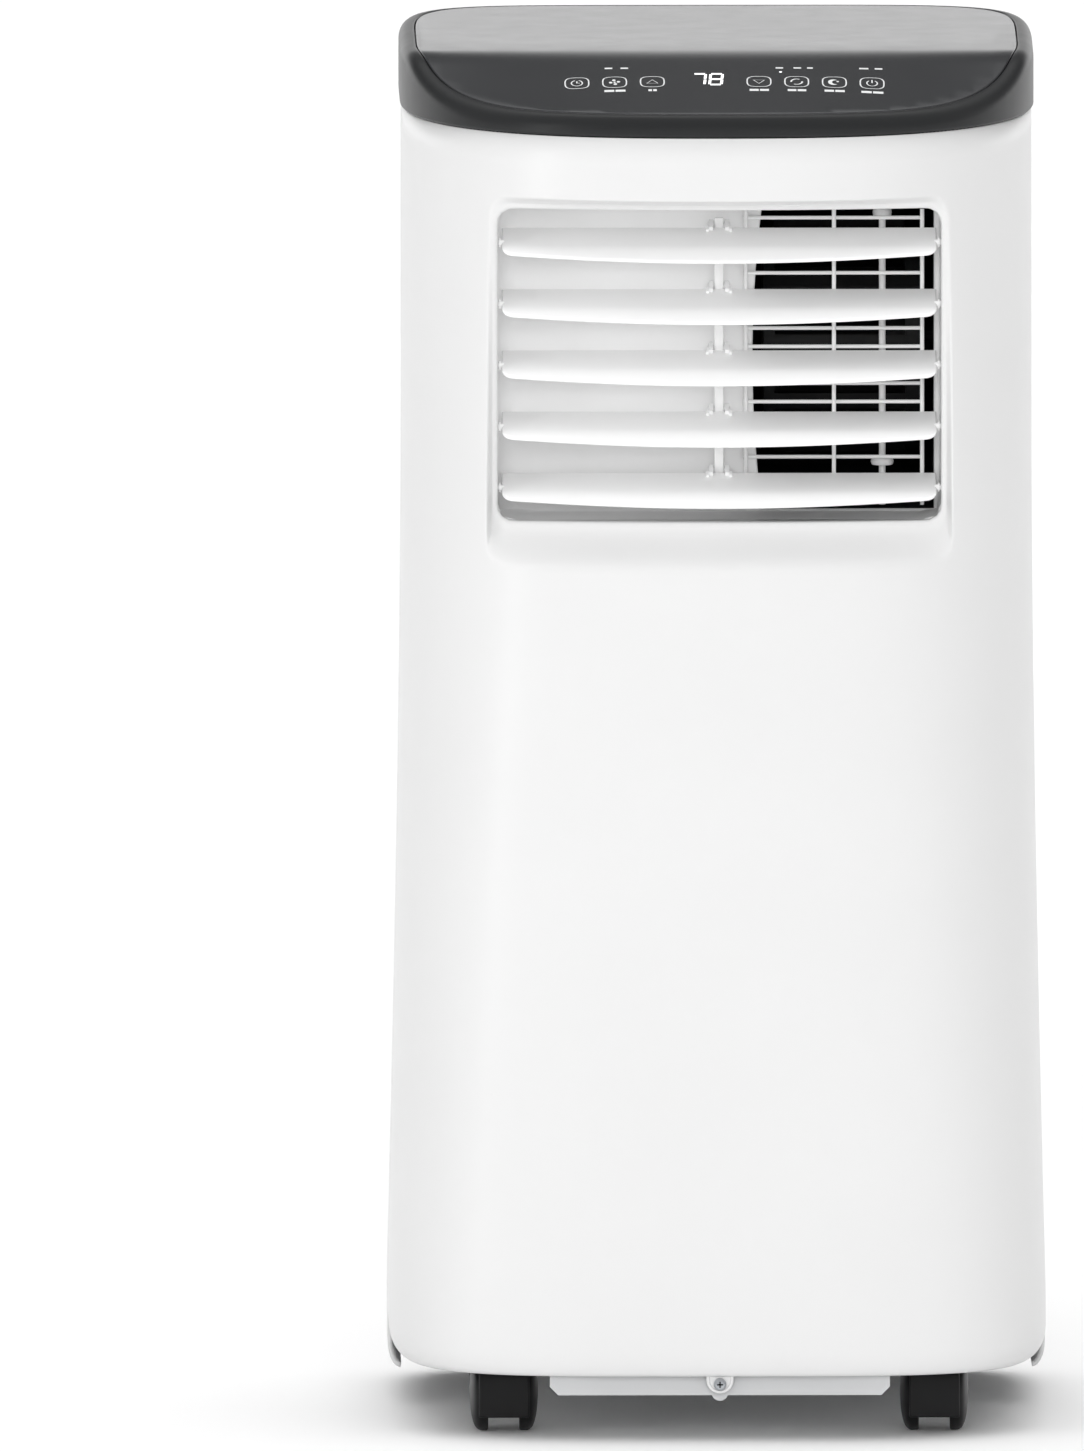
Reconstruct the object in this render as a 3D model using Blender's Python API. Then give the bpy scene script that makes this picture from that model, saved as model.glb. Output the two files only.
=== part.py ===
"""A small portable air conditioner on casters, as an assembly of separate pieces.

Metres, +Z up. The origin is on the floor under the middle of the body, and the front faces -Y.
"""

import math

import bmesh
import bpy
from mathutils import Matrix, Vector

# The body
HEIGHT = 0.650
HALF_DEPTH = 0.164
TOP_HALF_WIDTH = 0.1492
FLARE = 0.0065  # how much further out each side is at the bottom
FLARE_START = 0.460
FLARE_END = 0.060
FRONT_POWER_TOP = 2.6  # the front's plan is a superellipse, rounder at the top
FRONT_POWER_LOW = 4.4
REAR_POWER = 6.0
OUTLINE_STEPS = 40
WALL = 0.0025
GAP = 0.0004
SPLIT_Y = 0.010  # where the front casing meets the rear one

# Heights
FRONT_BOTTOM = 0.031
REAR_BOTTOM = 0.017
HEM_HEIGHT = 0.012
FRONT_HEM = (0.009, 0.004)  # how far the hem turns in, along X and along Y
REAR_HEM = (0.006, 0.004)
PAN_FLOOR = 0.046
PAN_RIM = 0.066
LIP_Y = -0.1541  # the front of the pan's lower lip
LIP_LOW = 0.0215
LIP_HALF_WIDTH = 0.0806
SCREW_Y = -0.160  # the front of the casing's tab, which the screw holds to the lip
SCREW_Z = 0.0273
SCREW_HOLE = 0.0017
TAB_HALF_WIDTH = 0.0064
TAB_LOW = 0.0229
DECK_FLOOR = 0.396
DECK_RIM = 0.412
CAP_BOTTOM = 0.622

# The cap
CAP_OVERHANG = 0.001
CAP_ROUNDING = 0.006
PANEL_INSET = 0.008
PANEL_THICKNESS = 0.0026
CREASE_Y = -0.050
CREASE_HALF_SPAN = 0.010
PANEL_SLOPE = 0.165

# The air outlet in the front
OUTLET_HALF_WIDTH = 0.105
OUTLET_BOTTOM = 0.4364
OUTLET_TOP = 0.5852
OUTLET_CORNER = 0.007
BAY_HALF_WIDTH = 0.111
BAY_BOTTOM = 0.4151
BAY_TOP = 0.5920
BAY_FLOOR_Y = -0.145
BAY_BOW = 0.0105
DUCT_FRONT_Y = -0.1292
DUCT_BACK_Y = -0.096
MOUTH_LEFT_X = 0.0205  # the left edge of the duct's mouth, at its corners
MOUTH_BULGE = 0.0045
MOUTH_Z = (0.4380, 0.5820)
GUARD_X = (0.0114, 0.0972)
GUARD_UPRIGHTS = (0.0128, 0.0546, 0.0964)
GUARD_TOP = 0.5770
GUARD_PITCH = 0.00877
GUARD_ROWS = 16
GUARD_Y = -0.1002

# The louvres
LOUVRE_COUNT = 5
LOUVRE_PITCH = 0.02923
LOUVRE_TOP_PIVOT = 0.5681
LOUVRE_PIVOT_Y = -0.126
LOUVRE_HALF_LENGTH = 0.103
LOUVRE_TILT = math.radians(20.0)
LOUVRE_BEHIND = 0.0144  # from the pivot to the rear edge, along the blade
LOUVRE_AHEAD = 0.0118  # from the pivot to the front edge at the ends, along the blade
LOUVRE_BOW = 0.0053
LOUVRE_THICKNESS = 0.0018
LOUVRE_CORNER = 0.0057
PIVOT_PIN = 0.0014
PIVOT_HOLE = 0.0019
LINK_PIN = 0.0011
LINK_HOLE = 0.0016
LINK_BEHIND = 0.0186  # from the pivot to the link's pin, along the blade
LINK_HALF_WIDTH = 0.0022
LINK_HALF_DEPTH = 0.0015
EAR_GAP = 0.0006
EAR_THICKNESS = 0.0020
EAR_HALF_HEIGHT = 0.0026

# The blowers
WHEEL_RADIUS = 0.056
SCROLL_RADIUS = 0.074
SHEET = 0.002
INLET_RADIUS = 0.044
SHAFT = 0.0038
SHAFT_HOLE = 0.0045
COOL_Y = 0.005
COOL_Z = 0.510
COOL_LOW_X = 0.014
COOL_HIGH_X = 0.104
HOT_X = 0.066
HOT_Z = 0.152
HOT_FRONT_Y = 0.030
HOT_REAR_Y = 0.092

# The rear
EXHAUST_X = 0.040
EXHAUST_Z = 0.325
EXHAUST_RADIUS = 0.058
COLLAR_RADIUS = 0.066
COLLAR_FRONT_Y = 0.1450
COLLAR_FLANGE_Y = 0.1586
COLLAR_BACK_Y = 0.1634
VENT_HALF_WIDTH = 0.118
VENT_ROWS = 10
VENT_BAR = 0.006
VENT_MARGIN = 0.011
PATCH_THICKNESS = 0.003
UPPER_VENT = (0.425, 0.600)
LOWER_VENT = (0.064, 0.230)
GRIP_Y = (0.050, 0.115)
GRIP_Z = (0.470, 0.505)
GRIP_DEPTH_X = 0.126
DRAIN_X = -0.030
DRAIN_Z = 0.0545
DRAIN_RADIUS = 0.0075
CORD_X = -0.112
CORD_Z = 0.270
CORD_RADIUS = 0.0070

# The casters
CASTER_X = 0.102
CASTER_Y = 0.100
CASTER_TRAIL = 0.008
CASTER_TOP = 0.0445
CASTER_WHEEL = 0.019
CASTER_TREAD = (0.0074, 0.0120)
CASTER_DOME = 0.0042
CASTER_HOOD_HALF_WIDTH = 0.0119
CASTER_HOOD_REACH = 0.0215
CASTER_HOOD_LOW = 0.008
CASTER_STEM = 0.0040
CASTER_SOCKET = 0.0044
CASTER_STEM_TOP = 0.060
CASTER_AXLE = 0.0022
CASTER_AXLE_HOLE = 0.0027

# The compressor
COMPRESSOR_X = -0.072
COMPRESSOR_Y = -0.025
COMPRESSOR_RADIUS = 0.050
FOOT_REACH = 0.060
FOOT_RADIUS = 0.009

X = Vector((1.0, 0.0, 0.0))
Y = Vector((0.0, 1.0, 0.0))
Z = Vector((0.0, 0.0, 1.0))
BIG = 0.5


# --- making and joining solids -------------------------------------------------------------


def clear_scene():
    for old in list(bpy.data.objects):
        bpy.data.objects.remove(old)


def make_material(name, colour, roughness, metallic=0.0):
    material = bpy.data.materials.get(name)
    if material is None:
        material = bpy.data.materials.new(name)
        material.use_nodes = True
        shader = material.node_tree.nodes["Principled BSDF"]
        shader.inputs["Base Color"].default_value = (*colour, 1.0)
        shader.inputs["Roughness"].default_value = roughness
        shader.inputs["Metallic"].default_value = metallic
    return material


def body_from(name, mesh_edit):
    """An object of its own from an edited mesh, with every face turned outwards."""
    bmesh.ops.recalc_face_normals(mesh_edit, faces=mesh_edit.faces)
    mesh = bpy.data.meshes.new(name)
    mesh_edit.to_mesh(mesh)
    mesh_edit.free()
    body = bpy.data.objects.new(name, mesh)
    bpy.context.scene.collection.objects.link(body)
    return body


def boxes(name, corners):
    """Boxes that don't touch, as one object."""
    edit = bmesh.new()
    for low, high in corners:
        size = Vector(high) - Vector(low)
        place = Matrix.Translation((Vector(high) + Vector(low)) / 2)
        bmesh.ops.create_cube(edit, size=1.0, matrix=place @ Matrix.Diagonal((*size, 1.0)))
    return body_from(name, edit)


def box(name, low, high):
    return boxes(name, [(low, high)])


def turned_to(axis):
    """The rotation that takes +Z to this axis."""
    return Z.rotation_difference(axis).to_matrix().to_4x4()


def rods(name, starts, axis, length, radius, sides=4):
    """Rods that don't touch, as one object."""
    edit = bmesh.new()
    for start in starts:
        place = Matrix.Translation(Vector(start) + axis * length / 2) @ turned_to(axis)
        bmesh.ops.create_cone(
            edit, cap_ends=True, segments=sides, radius1=radius, radius2=radius, depth=length, matrix=place
        )
    return body_from(name, edit)


def cylinder(name, start, axis, length, radius, sides=32):
    return rods(name, [start], axis, length, radius, sides)


def prism(name, points, travel):
    """A flat outline of points, swept along travel."""
    edit = bmesh.new()
    face = edit.faces.new([edit.verts.new(point) for point in points])
    swept = bmesh.ops.extrude_face_region(edit, geom=[face])["geom"]
    moved = [part for part in swept if isinstance(part, bmesh.types.BMVert)]
    bmesh.ops.translate(edit, verts=moved, vec=travel)
    return body_from(name, edit)


def turned(name, profile, start, axis, sides=32, ring=False):
    """A profile of (radius, distance along the axis), spun round.

    It runs from one end's middle to the other's, or closes on itself as the section of a ring.
    """
    edit = bmesh.new()
    points = [edit.verts.new((radius, 0.0, along)) for radius, along in profile]
    ends = points[1:] + points[:1] if ring else points[1:]
    edges = [edit.edges.new(pair) for pair in zip(points, ends)]
    bmesh.ops.spin(
        edit, geom=points + edges, cent=(0, 0, 0), axis=(0, 0, 1), angle=math.tau, steps=sides, use_merge=True
    )
    bmesh.ops.remove_doubles(edit, verts=edit.verts, dist=1e-6)
    bmesh.ops.transform(edit, matrix=Matrix.Translation(start) @ turned_to(axis), verts=edit.verts)
    return body_from(name, edit)


def loft(name, loops):
    """A skin bridged through closed loops of points, with its two ends filled."""
    edit = bmesh.new()
    rings = []
    for loop in loops:
        points = [edit.verts.new(point) for point in loop]
        rings.append([edit.edges.new(pair) for pair in zip(points, points[1:] + points[:1])])
    for low, high in zip(rings, rings[1:]):
        bmesh.ops.bridge_loops(edit, edges=low + high)
    for ring in (rings[0], rings[-1]):
        bmesh.ops.edgeloop_fill(edit, edges=ring)
    return body_from(name, edit)


def combine(body, tool, operation):
    """Applies an exact Boolean of body with tool, and removes the tool."""
    modifier = body.modifiers.new(operation, "BOOLEAN")
    modifier.operation = operation
    modifier.solver = "EXACT"
    modifier.object = tool
    graph = bpy.context.evaluated_depsgraph_get()
    shaped = bpy.data.meshes.new_from_object(body.evaluated_get(graph))
    before = body.data
    body.modifiers.clear()
    body.data = shaped
    bpy.data.meshes.remove(before)
    bpy.data.objects.remove(tool)
    return body


def cut(body, tool):
    return combine(body, tool, "DIFFERENCE")


def weld(body, tool):
    return combine(body, tool, "UNION")


def keep(body, tool):
    return combine(body, tool, "INTERSECT")


def finish(body, name, material, origin=(0.0, 0.0, 0.0), smooth_angle=35.0):
    """Names the piece, gives it its material, and puts its origin at the given point."""
    body.name = name
    body.data.name = name
    body.data.transform(Matrix.Translation(-Vector(origin)))
    body.location = origin
    body.data.materials.clear()
    body.data.materials.append(material)
    body.data.shade_smooth()
    body.data.set_sharp_from_angle(angle=math.radians(smooth_angle))
    return body


# --- the body's outline --------------------------------------------------------------------


def half_width(z):
    fall = min(max((FLARE_START - z) / (FLARE_START - FLARE_END), 0.0), 1.0)
    return TOP_HALF_WIDTH + FLARE * fall**1.6


def front_power(z):
    rise = min(max((z - PAN_FLOOR) / (CAP_BOTTOM - PAN_FLOOR), 0.0), 1.0)
    return FRONT_POWER_LOW + (FRONT_POWER_TOP - FRONT_POWER_LOW) * rise


def outline(z, inset_x=0.0, inset_y=None, steps=OUTLINE_STEPS):
    """Points round the body at one height, anticlockwise from +X."""
    inset_y = inset_x if inset_y is None else inset_y
    points = []
    for step in range(steps):
        angle = math.tau * step / steps
        across, along = math.cos(angle), math.sin(angle)
        power = 2.0 / (REAR_POWER if along >= 0 else front_power(z))
        x = (half_width(z) - inset_x) * math.copysign(abs(across) ** power, across)
        y = (HALF_DEPTH - inset_y) * math.copysign(abs(along) ** power, along)
        points.append(Vector((x, y, z)))
    return points


def front_y(x, z):
    """The front surface's Y at a point of the front."""
    power = front_power(z)
    return -HALF_DEPTH * (1.0 - (abs(x) / half_width(z)) ** power) ** (1.0 / power)


def solid_body(name, bottom, hem, inset=0.0, overrun=0.0):
    """The body up from a rounded hem, inset by a wall, and run past both ends by overrun."""
    hem_x, hem_y = hem
    loops = []
    if overrun:
        loops.append([point - Z * overrun for point in outline(bottom, inset + hem_x, inset + hem_y)])
    for step in range(3):
        angle = math.radians(90.0 * step / 3)
        share = 1.0 - math.sin(angle)
        z = bottom + HEM_HEIGHT * (1.0 - math.cos(angle))
        loops.append(outline(z, inset + hem_x * share, inset + hem_y * share))
    for z in (bottom + HEM_HEIGHT, 0.10, 0.17, 0.26, 0.36, 0.46):
        loops.append(outline(z, inset))
    loops.append(outline(CAP_BOTTOM - GAP + overrun, inset))
    return loft(name, loops)


def tray(name, floor, rim, inset, wall=WALL):
    """An open tray with the body's outline."""
    middle = (floor + rim) / 2
    shape = loft(name, [outline(z, inset) for z in (floor, middle, rim)])
    hollow = loft("hollow", [outline(z, inset + wall) for z in (floor + wall, middle, rim + wall)])
    return cut(shape, hollow)


# --- casings -------------------------------------------------------------------------------


def rounded_rectangle(half_wide, low, high, radius, steps=4):
    """Corner by corner, (x, z) points round an upright rectangle."""
    points = []
    corners = ((half_wide, high, 0), (-half_wide, high, 90), (-half_wide, low, 180), (half_wide, low, 270))
    for corner_x, corner_z, start in corners:
        middle_x = corner_x - math.copysign(radius, corner_x)
        middle_z = corner_z - radius if corner_z == high else corner_z + radius
        for step in range(steps + 1):
            angle = math.radians(start + 90.0 * step / steps)
            points.append((middle_x + radius * math.cos(angle), middle_z + radius * math.sin(angle)))
    return points


def subdivided(points, longest=0.018):
    """The same closed outline, with no step longer than this."""
    fine = []
    for (x0, z0), (x1, z1) in zip(points, points[1:] + points[:1]):
        parts = max(1, math.ceil(math.hypot(x1 - x0, z1 - z0) / longest))
        fine += [(x0 + (x1 - x0) * part / parts, z0 + (z1 - z0) * part / parts) for part in range(parts)]
    return fine


def bay(name, backing=0.0):
    """The scooped bay round the outlet: its floor, its ramps and the space in front of it."""
    inner = subdivided(
        rounded_rectangle(
            OUTLET_HALF_WIDTH + 0.002 + backing,
            OUTLET_BOTTOM - 0.001 - backing,
            OUTLET_TOP + 0.001 + backing,
            OUTLET_CORNER + backing,
        )
    )
    middle_z = (OUTLET_BOTTOM + OUTLET_TOP) / 2
    floor, rim, outside = [], [], []
    for x, z in inner:
        floor_y = BAY_FLOOR_Y + BAY_BOW * min(abs(x) / OUTLET_HALF_WIDTH, 1.0) ** 2 + backing
        rim_x = x * (BAY_HALF_WIDTH + backing) / (OUTLET_HALF_WIDTH + 0.002 + backing)
        if z > middle_z:
            share = (z - middle_z) / (OUTLET_TOP + 0.001 + backing - middle_z)
            rim_z = middle_z + share * (BAY_TOP + backing - middle_z)
        else:
            share = (middle_z - z) / (middle_z - OUTLET_BOTTOM + 0.001 + backing)
            rim_z = middle_z - share * (middle_z - BAY_BOTTOM + backing)
        rim_y = front_y(rim_x, rim_z)
        floor.append(Vector((x, floor_y, z)))
        rim.append(Vector((rim_x, rim_y, rim_z)))
        outside.append(Vector((rim_x * 1.02, rim_y - 0.020, rim_z)))
    return loft(name, [floor, rim, outside])


def front_casing():
    shell = solid_body("front_casing", FRONT_BOTTOM, FRONT_HEM)
    hollow = solid_body("hollow", FRONT_BOTTOM, FRONT_HEM, inset=WALL, overrun=0.004)
    hollow = cut(hollow, bay("bay_backing", backing=WALL))
    shell = cut(shell, hollow)
    shell = cut(shell, bay("bay"))
    opening = subdivided(rounded_rectangle(OUTLET_HALF_WIDTH, OUTLET_BOTTOM, OUTLET_TOP, OUTLET_CORNER))
    shell = cut(shell, prism("opening", [Vector((x, -0.17, z)) for x, z in opening], Y * 0.06))
    shell = cut(shell, box("rear_half", (-BIG, SPLIT_Y, -BIG), (BIG, BIG, 1.0)))
    shell = weld(shell, screw_tab("tab", TAB_HALF_WIDTH, TAB_LOW, FRONT_BOTTOM + 0.002, SCREW_Y, WALL))
    shell = cut(shell, cylinder("hole", (0, SCREW_Y - 0.005, SCREW_Z), Y, 0.01, SCREW_HOLE, 12))
    return finish(shell, "front_casing", white_plastic())


def screw_tab(name, half_wide, low, high, front, thick):
    """A small tab with a round lower end."""
    points = [Vector((half_wide, front, high)), Vector((-half_wide, front, high))]
    for step in range(9):
        angle = math.pi + math.pi * step / 8
        points.append(
            Vector((half_wide * math.cos(angle), front, low + half_wide * (1.0 + math.sin(angle))))
        )
    return prism(name, points, Y * thick)


def vent_slots(low_z, high_z):
    """The slots of a vent: two columns of rows."""
    pitch = (high_z - low_z - 2 * VENT_MARGIN) / VENT_ROWS
    slots = []
    for row in range(VENT_ROWS):
        base = low_z + VENT_MARGIN + pitch * row + VENT_BAR / 2
        for side in (-1, 1):
            ends = sorted((side * 0.004, side * (VENT_HALF_WIDTH - VENT_MARGIN)))
            slots.append(((ends[0], 0.10, base), (ends[1], 0.20, base + pitch - VENT_BAR)))
    return boxes("slots", slots)


def rear_patch(name, half_wide, low_z, high_z):
    """The part of the body's skin inside a rectangle of the rear."""
    shell = solid_body(name, REAR_BOTTOM, REAR_HEM)
    shell = cut(shell, solid_body("hollow", REAR_BOTTOM, REAR_HEM, inset=PATCH_THICKNESS, overrun=0.004))
    return keep(shell, box("window", (-half_wide, 0.12, low_z), (half_wide, 0.20, high_z)))


def rear_casing():
    shell = solid_body("rear_casing", REAR_BOTTOM, REAR_HEM)
    hollow = solid_body("hollow", REAR_BOTTOM, REAR_HEM, inset=WALL, overrun=0.004)
    for side in (-1, 1):
        ends = sorted((side * (GRIP_DEPTH_X - WALL), side * BIG))
        low = (ends[0], GRIP_Y[0] - WALL, GRIP_Z[0] - WALL)
        high = (ends[1], GRIP_Y[1] + WALL, GRIP_Z[1] + WALL)
        hollow = cut(hollow, box("grip_backing", low, high))
    shell = cut(shell, hollow)
    for side in (-1, 1):
        ends = sorted((side * GRIP_DEPTH_X, side * BIG))
        shell = cut(shell, box("grip", (ends[0], GRIP_Y[0], GRIP_Z[0]), (ends[1], GRIP_Y[1], GRIP_Z[1])))
    for low, high in (UPPER_VENT, LOWER_VENT):
        shell = cut(shell, box("vent", (-VENT_HALF_WIDTH, 0.12, low), (VENT_HALF_WIDTH, 0.20, high)))
    shell = cut(shell, cylinder("exhaust", (EXHAUST_X, 0.12, EXHAUST_Z), Y, 0.08, COLLAR_RADIUS + GAP, 32))
    shell = cut(shell, cylinder("drain", (DRAIN_X, 0.12, DRAIN_Z), Y, 0.08, DRAIN_RADIUS + 0.0006, 20))
    shell = cut(shell, cylinder("cord", (CORD_X, 0.12, CORD_Z), Y, 0.08, CORD_RADIUS + GAP, 20))
    shell = cut(shell, box("front_half", (-BIG, -BIG, -BIG), (BIG, SPLIT_Y + GAP, 1.0)))
    return finish(shell, "rear_casing", white_plastic())


def filter_cover():
    low, high = UPPER_VENT
    cover = rear_patch("filter_cover", VENT_HALF_WIDTH - GAP * 2, low + GAP * 2, high - GAP * 2)
    cover = cut(cover, vent_slots(low, high))
    return finish(cover, "filter_cover", white_plastic())


def filter_mesh():
    low, high = UPPER_VENT
    mesh = box("filter_mesh", (-0.112, 0.1476, low + 0.004), (0.112, 0.1500, high - 0.004))
    windows = []
    for column in range(3):
        for row in range(2):
            left = -0.108 + column * 0.0727
            base = low + 0.008 + row * 0.0805
            windows.append(((left, 0.14, base), (left + 0.0705, 0.16, base + 0.0785)))
    mesh = cut(mesh, boxes("windows", windows))
    return finish(mesh, "filter_mesh", grey_plastic())


def lower_grille():
    low, high = LOWER_VENT
    grille = rear_patch("lower_grille", VENT_HALF_WIDTH - GAP, low + GAP, high - GAP)
    grille = cut(grille, vent_slots(low, high))
    return finish(grille, "lower_grille", white_plastic())


# --- the cap -------------------------------------------------------------------------------


def crease_drop(y):
    """How far the top falls towards the front, with a rounded crease."""
    ahead = CREASE_Y - y
    if ahead <= -CREASE_HALF_SPAN:
        return 0.0
    if ahead >= CREASE_HALF_SPAN:
        return PANEL_SLOPE * ahead
    return PANEL_SLOPE * (ahead + CREASE_HALF_SPAN) ** 2 / (4 * CREASE_HALF_SPAN)


def slope_top(body):
    """Splits the flat top along the crease, then lets everything above the cap's lower edge fall."""
    edit = bmesh.new()
    edit.from_mesh(body.data)
    for step in range(-2, 3):
        cut_y = CREASE_Y + CREASE_HALF_SPAN * step / 2
        geometry = edit.verts[:] + edit.edges[:] + edit.faces[:]
        bmesh.ops.bisect_plane(edit, geom=geometry, dist=1e-7, plane_co=(0, cut_y, 0), plane_no=(0, 1, 0))
    for point in edit.verts:
        if point.co.z > CAP_BOTTOM + 0.001:
            point.co.z -= crease_drop(point.co.y)
    edit.to_mesh(body.data)
    edit.free()
    return body


def cap_outline(z, inset):
    return [Vector((point.x, point.y, z)) for point in outline(CAP_BOTTOM, inset - CAP_OVERHANG, inset)]


def top_cover():
    loops = [cap_outline(CAP_BOTTOM, 0.0), cap_outline(HEIGHT - CAP_ROUNDING, 0.0)]
    for step in range(1, 4):
        angle = math.radians(90.0 * step / 3)
        inset = CAP_ROUNDING * (1.0 - math.cos(angle))
        loops.append(cap_outline(HEIGHT - CAP_ROUNDING * (1.0 - math.sin(angle)), inset))
    cover = loft("top_cover", loops)
    pocket_floor = HEIGHT - PANEL_THICKNESS - GAP
    pocket = [cap_outline(z, PANEL_INSET - GAP) for z in (pocket_floor, HEIGHT + 0.01)]
    cover = cut(cover, loft("pocket", pocket))
    hollow = [cap_outline(z, WALL + 0.0005) for z in (CAP_BOTTOM - 0.01, HEIGHT - CAP_ROUNDING)]
    cover = cut(cover, loft("hollow", hollow))
    return finish(slope_top(cover), "top_cover", charcoal_plastic())


def control_panel():
    panel = loft("control_panel", [cap_outline(z, PANEL_INSET) for z in (HEIGHT - PANEL_THICKNESS, HEIGHT)])
    return finish(slope_top(panel), "control_panel", charcoal_plastic())


def tilted_slab(name, low, high, pivot_y):
    """A box that leans with the control panel, about the X axis at pivot_y."""
    slab = box(name, low, high)
    middle = Vector((0, pivot_y, (low[2] + high[2]) / 2))
    lean = Matrix.Rotation(math.atan(PANEL_SLOPE), 4, "X")
    slab.data.transform(Matrix.Translation(middle) @ lean @ Matrix.Translation(-middle))
    return slab


def control_board():
    board = tilted_slab("control_board", (-0.095, -0.135, 0.6240), (0.095, -0.065, 0.6256), -0.100)
    return finish(board, "control_board", circuit_green())


def display_module():
    module = tilted_slab("display_module", (-0.014, -0.111, 0.6262), (0.004, -0.088, 0.6312), -0.100)
    return finish(module, "display_module", grey_plastic())


# --- the outlet, its louvres and its guard -------------------------------------------------


def louvre_height(index):
    return LOUVRE_TOP_PIVOT - LOUVRE_PITCH * index


def outlet_duct():
    low_z, high_z = OUTLET_BOTTOM - 0.0030, OUTLET_TOP + 0.0030
    side = OUTLET_HALF_WIDTH + 0.0030
    duct = box("outlet_duct", (-side, DUCT_FRONT_Y, low_z), (side, DUCT_BACK_Y, high_z))
    inner = (OUTLET_HALF_WIDTH + 0.0003, DUCT_BACK_Y - WALL, OUTLET_TOP + 0.0003)
    duct = cut(duct, box("inside", (-inner[0], -0.2, OUTLET_BOTTOM - 0.0003), inner))
    mouth_low, mouth_high = MOUTH_Z
    mouth = [(COOL_HIGH_X - SHEET, mouth_low), (COOL_HIGH_X - SHEET, mouth_high)]
    for step in range(9):
        share = step / 8
        bulge = MOUTH_BULGE * (1.0 - (2.0 * share - 1.0) ** 2)
        mouth.append((MOUTH_LEFT_X - bulge, mouth_high + (mouth_low - mouth_high) * share))
    duct = cut(duct, prism("mouth", [Vector((x, -0.105, z)) for x, z in mouth], Y * 0.03))
    starts = [(-0.12, LOUVRE_PIVOT_Y, louvre_height(index)) for index in range(LOUVRE_COUNT)]
    duct = cut(duct, rods("pivot_holes", starts, X, 0.24, PIVOT_HOLE, 12))
    return finish(duct, "outlet_duct", grey_plastic())


def blade_outline():
    """The blade seen square on: (x, distance behind the pivot), with a bowed front and round corners."""
    reach = LOUVRE_HALF_LENGTH
    points = [(reach, LOUVRE_BEHIND), (-reach, LOUVRE_BEHIND)]
    for step in range(4):
        angle = math.radians(180 + 90 * step / 3)
        x = -reach + LOUVRE_CORNER * (1 + math.cos(angle))
        points.append((x, -LOUVRE_AHEAD + LOUVRE_CORNER * (1 + math.sin(angle))))
    span = reach - LOUVRE_CORNER
    for step in range(1, 12):
        x = -span + 2 * span * step / 12
        points.append((x, -LOUVRE_AHEAD - LOUVRE_BOW * (1 - (x / span) ** 2)))
    for step in range(4):
        angle = math.radians(270 + 90 * step / 3)
        x = reach - LOUVRE_CORNER * (1 - math.cos(angle))
        points.append((x, -LOUVRE_AHEAD + LOUVRE_CORNER * (1 + math.sin(angle))))
    return points


def blade_mesh():
    """One blade with its pins and its two ears, lying flat about its pivot axis."""
    half = LOUVRE_THICKNESS / 2
    blade = prism("blade", [Vector((x, y, -half)) for x, y in blade_outline()], Z * LOUVRE_THICKNESS)
    pin_length = 2 * (LOUVRE_HALF_LENGTH + 0.0036)
    blade = weld(blade, cylinder("pins", (-pin_length / 2, 0, 0), X, pin_length, PIVOT_PIN, 12))
    inner = LINK_HALF_WIDTH + EAR_GAP
    for side in (-1, 1):
        ends = sorted((side * inner, side * (inner + EAR_THICKNESS)))
        low = (ends[0], LOUVRE_BEHIND - 0.002, -EAR_HALF_HEIGHT)
        high = (ends[1], LINK_BEHIND + EAR_HALF_HEIGHT, EAR_HALF_HEIGHT)
        blade = weld(blade, box("ear", low, high))
    hole = cylinder("link_hole", (-0.01, LINK_BEHIND, 0.0), X, 0.02, LINK_HOLE, 10)
    blade = cut(blade, hole)
    blade.data.transform(Matrix.Rotation(LOUVRE_TILT, 4, "X"))
    return blade


def link_pin_offset():
    """From a louvre's pivot to its link pin, as the blade rests."""
    return Matrix.Rotation(LOUVRE_TILT, 4, "X") @ Vector((0.0, LINK_BEHIND, 0.0))


def louvres():
    pattern = blade_mesh()
    pattern.data.materials.clear()
    pattern.data.materials.append(white_plastic())
    pattern.data.shade_smooth()
    pattern.data.set_sharp_from_angle(angle=math.radians(35.0))
    for index in range(LOUVRE_COUNT):
        blade = bpy.data.objects.new(f"louvre_{index + 1}", pattern.data)
        bpy.context.scene.collection.objects.link(blade)
        blade.location = (0.0, LOUVRE_PIVOT_Y, louvre_height(index))
    bpy.data.objects.remove(pattern)


def louvre_link():
    pivots = [Vector((0, LOUVRE_PIVOT_Y, louvre_height(index))) for index in range(LOUVRE_COUNT)]
    pins = [pivot + link_pin_offset() for pivot in pivots]
    low = (-LINK_HALF_WIDTH, pins[-1].y - LINK_HALF_DEPTH, pins[-1].z - 0.0028)
    high = (LINK_HALF_WIDTH, pins[0].y + LINK_HALF_DEPTH, pins[0].z + 0.0035)
    bar = box("louvre_link", low, high)
    reach = LINK_HALF_WIDTH + EAR_GAP + EAR_THICKNESS + 0.0006
    for pin in pins:
        bar = weld(bar, cylinder("pin", pin - X * reach, X, 2 * reach, LINK_PIN, 10))
    return finish(bar, "louvre_link", white_plastic(), origin=pins[2])


def outlet_guard():
    """Sixteen level wires welded to three upright ones."""
    left, right = GUARD_X
    starts = [(left, GUARD_Y, GUARD_TOP - GUARD_PITCH * row) for row in range(GUARD_ROWS)]
    rows = rods("outlet_guard", starts, X, right - left, 0.0009)
    height = GUARD_PITCH * (GUARD_ROWS - 1) + 0.0095
    base = GUARD_TOP + 0.0042 - height
    uprights = rods("uprights", [(x, GUARD_Y - 0.0012, base) for x in GUARD_UPRIGHTS], Z, height, 0.0010)
    return finish(weld(rows, uprights), "outlet_guard", white_wire())


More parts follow.
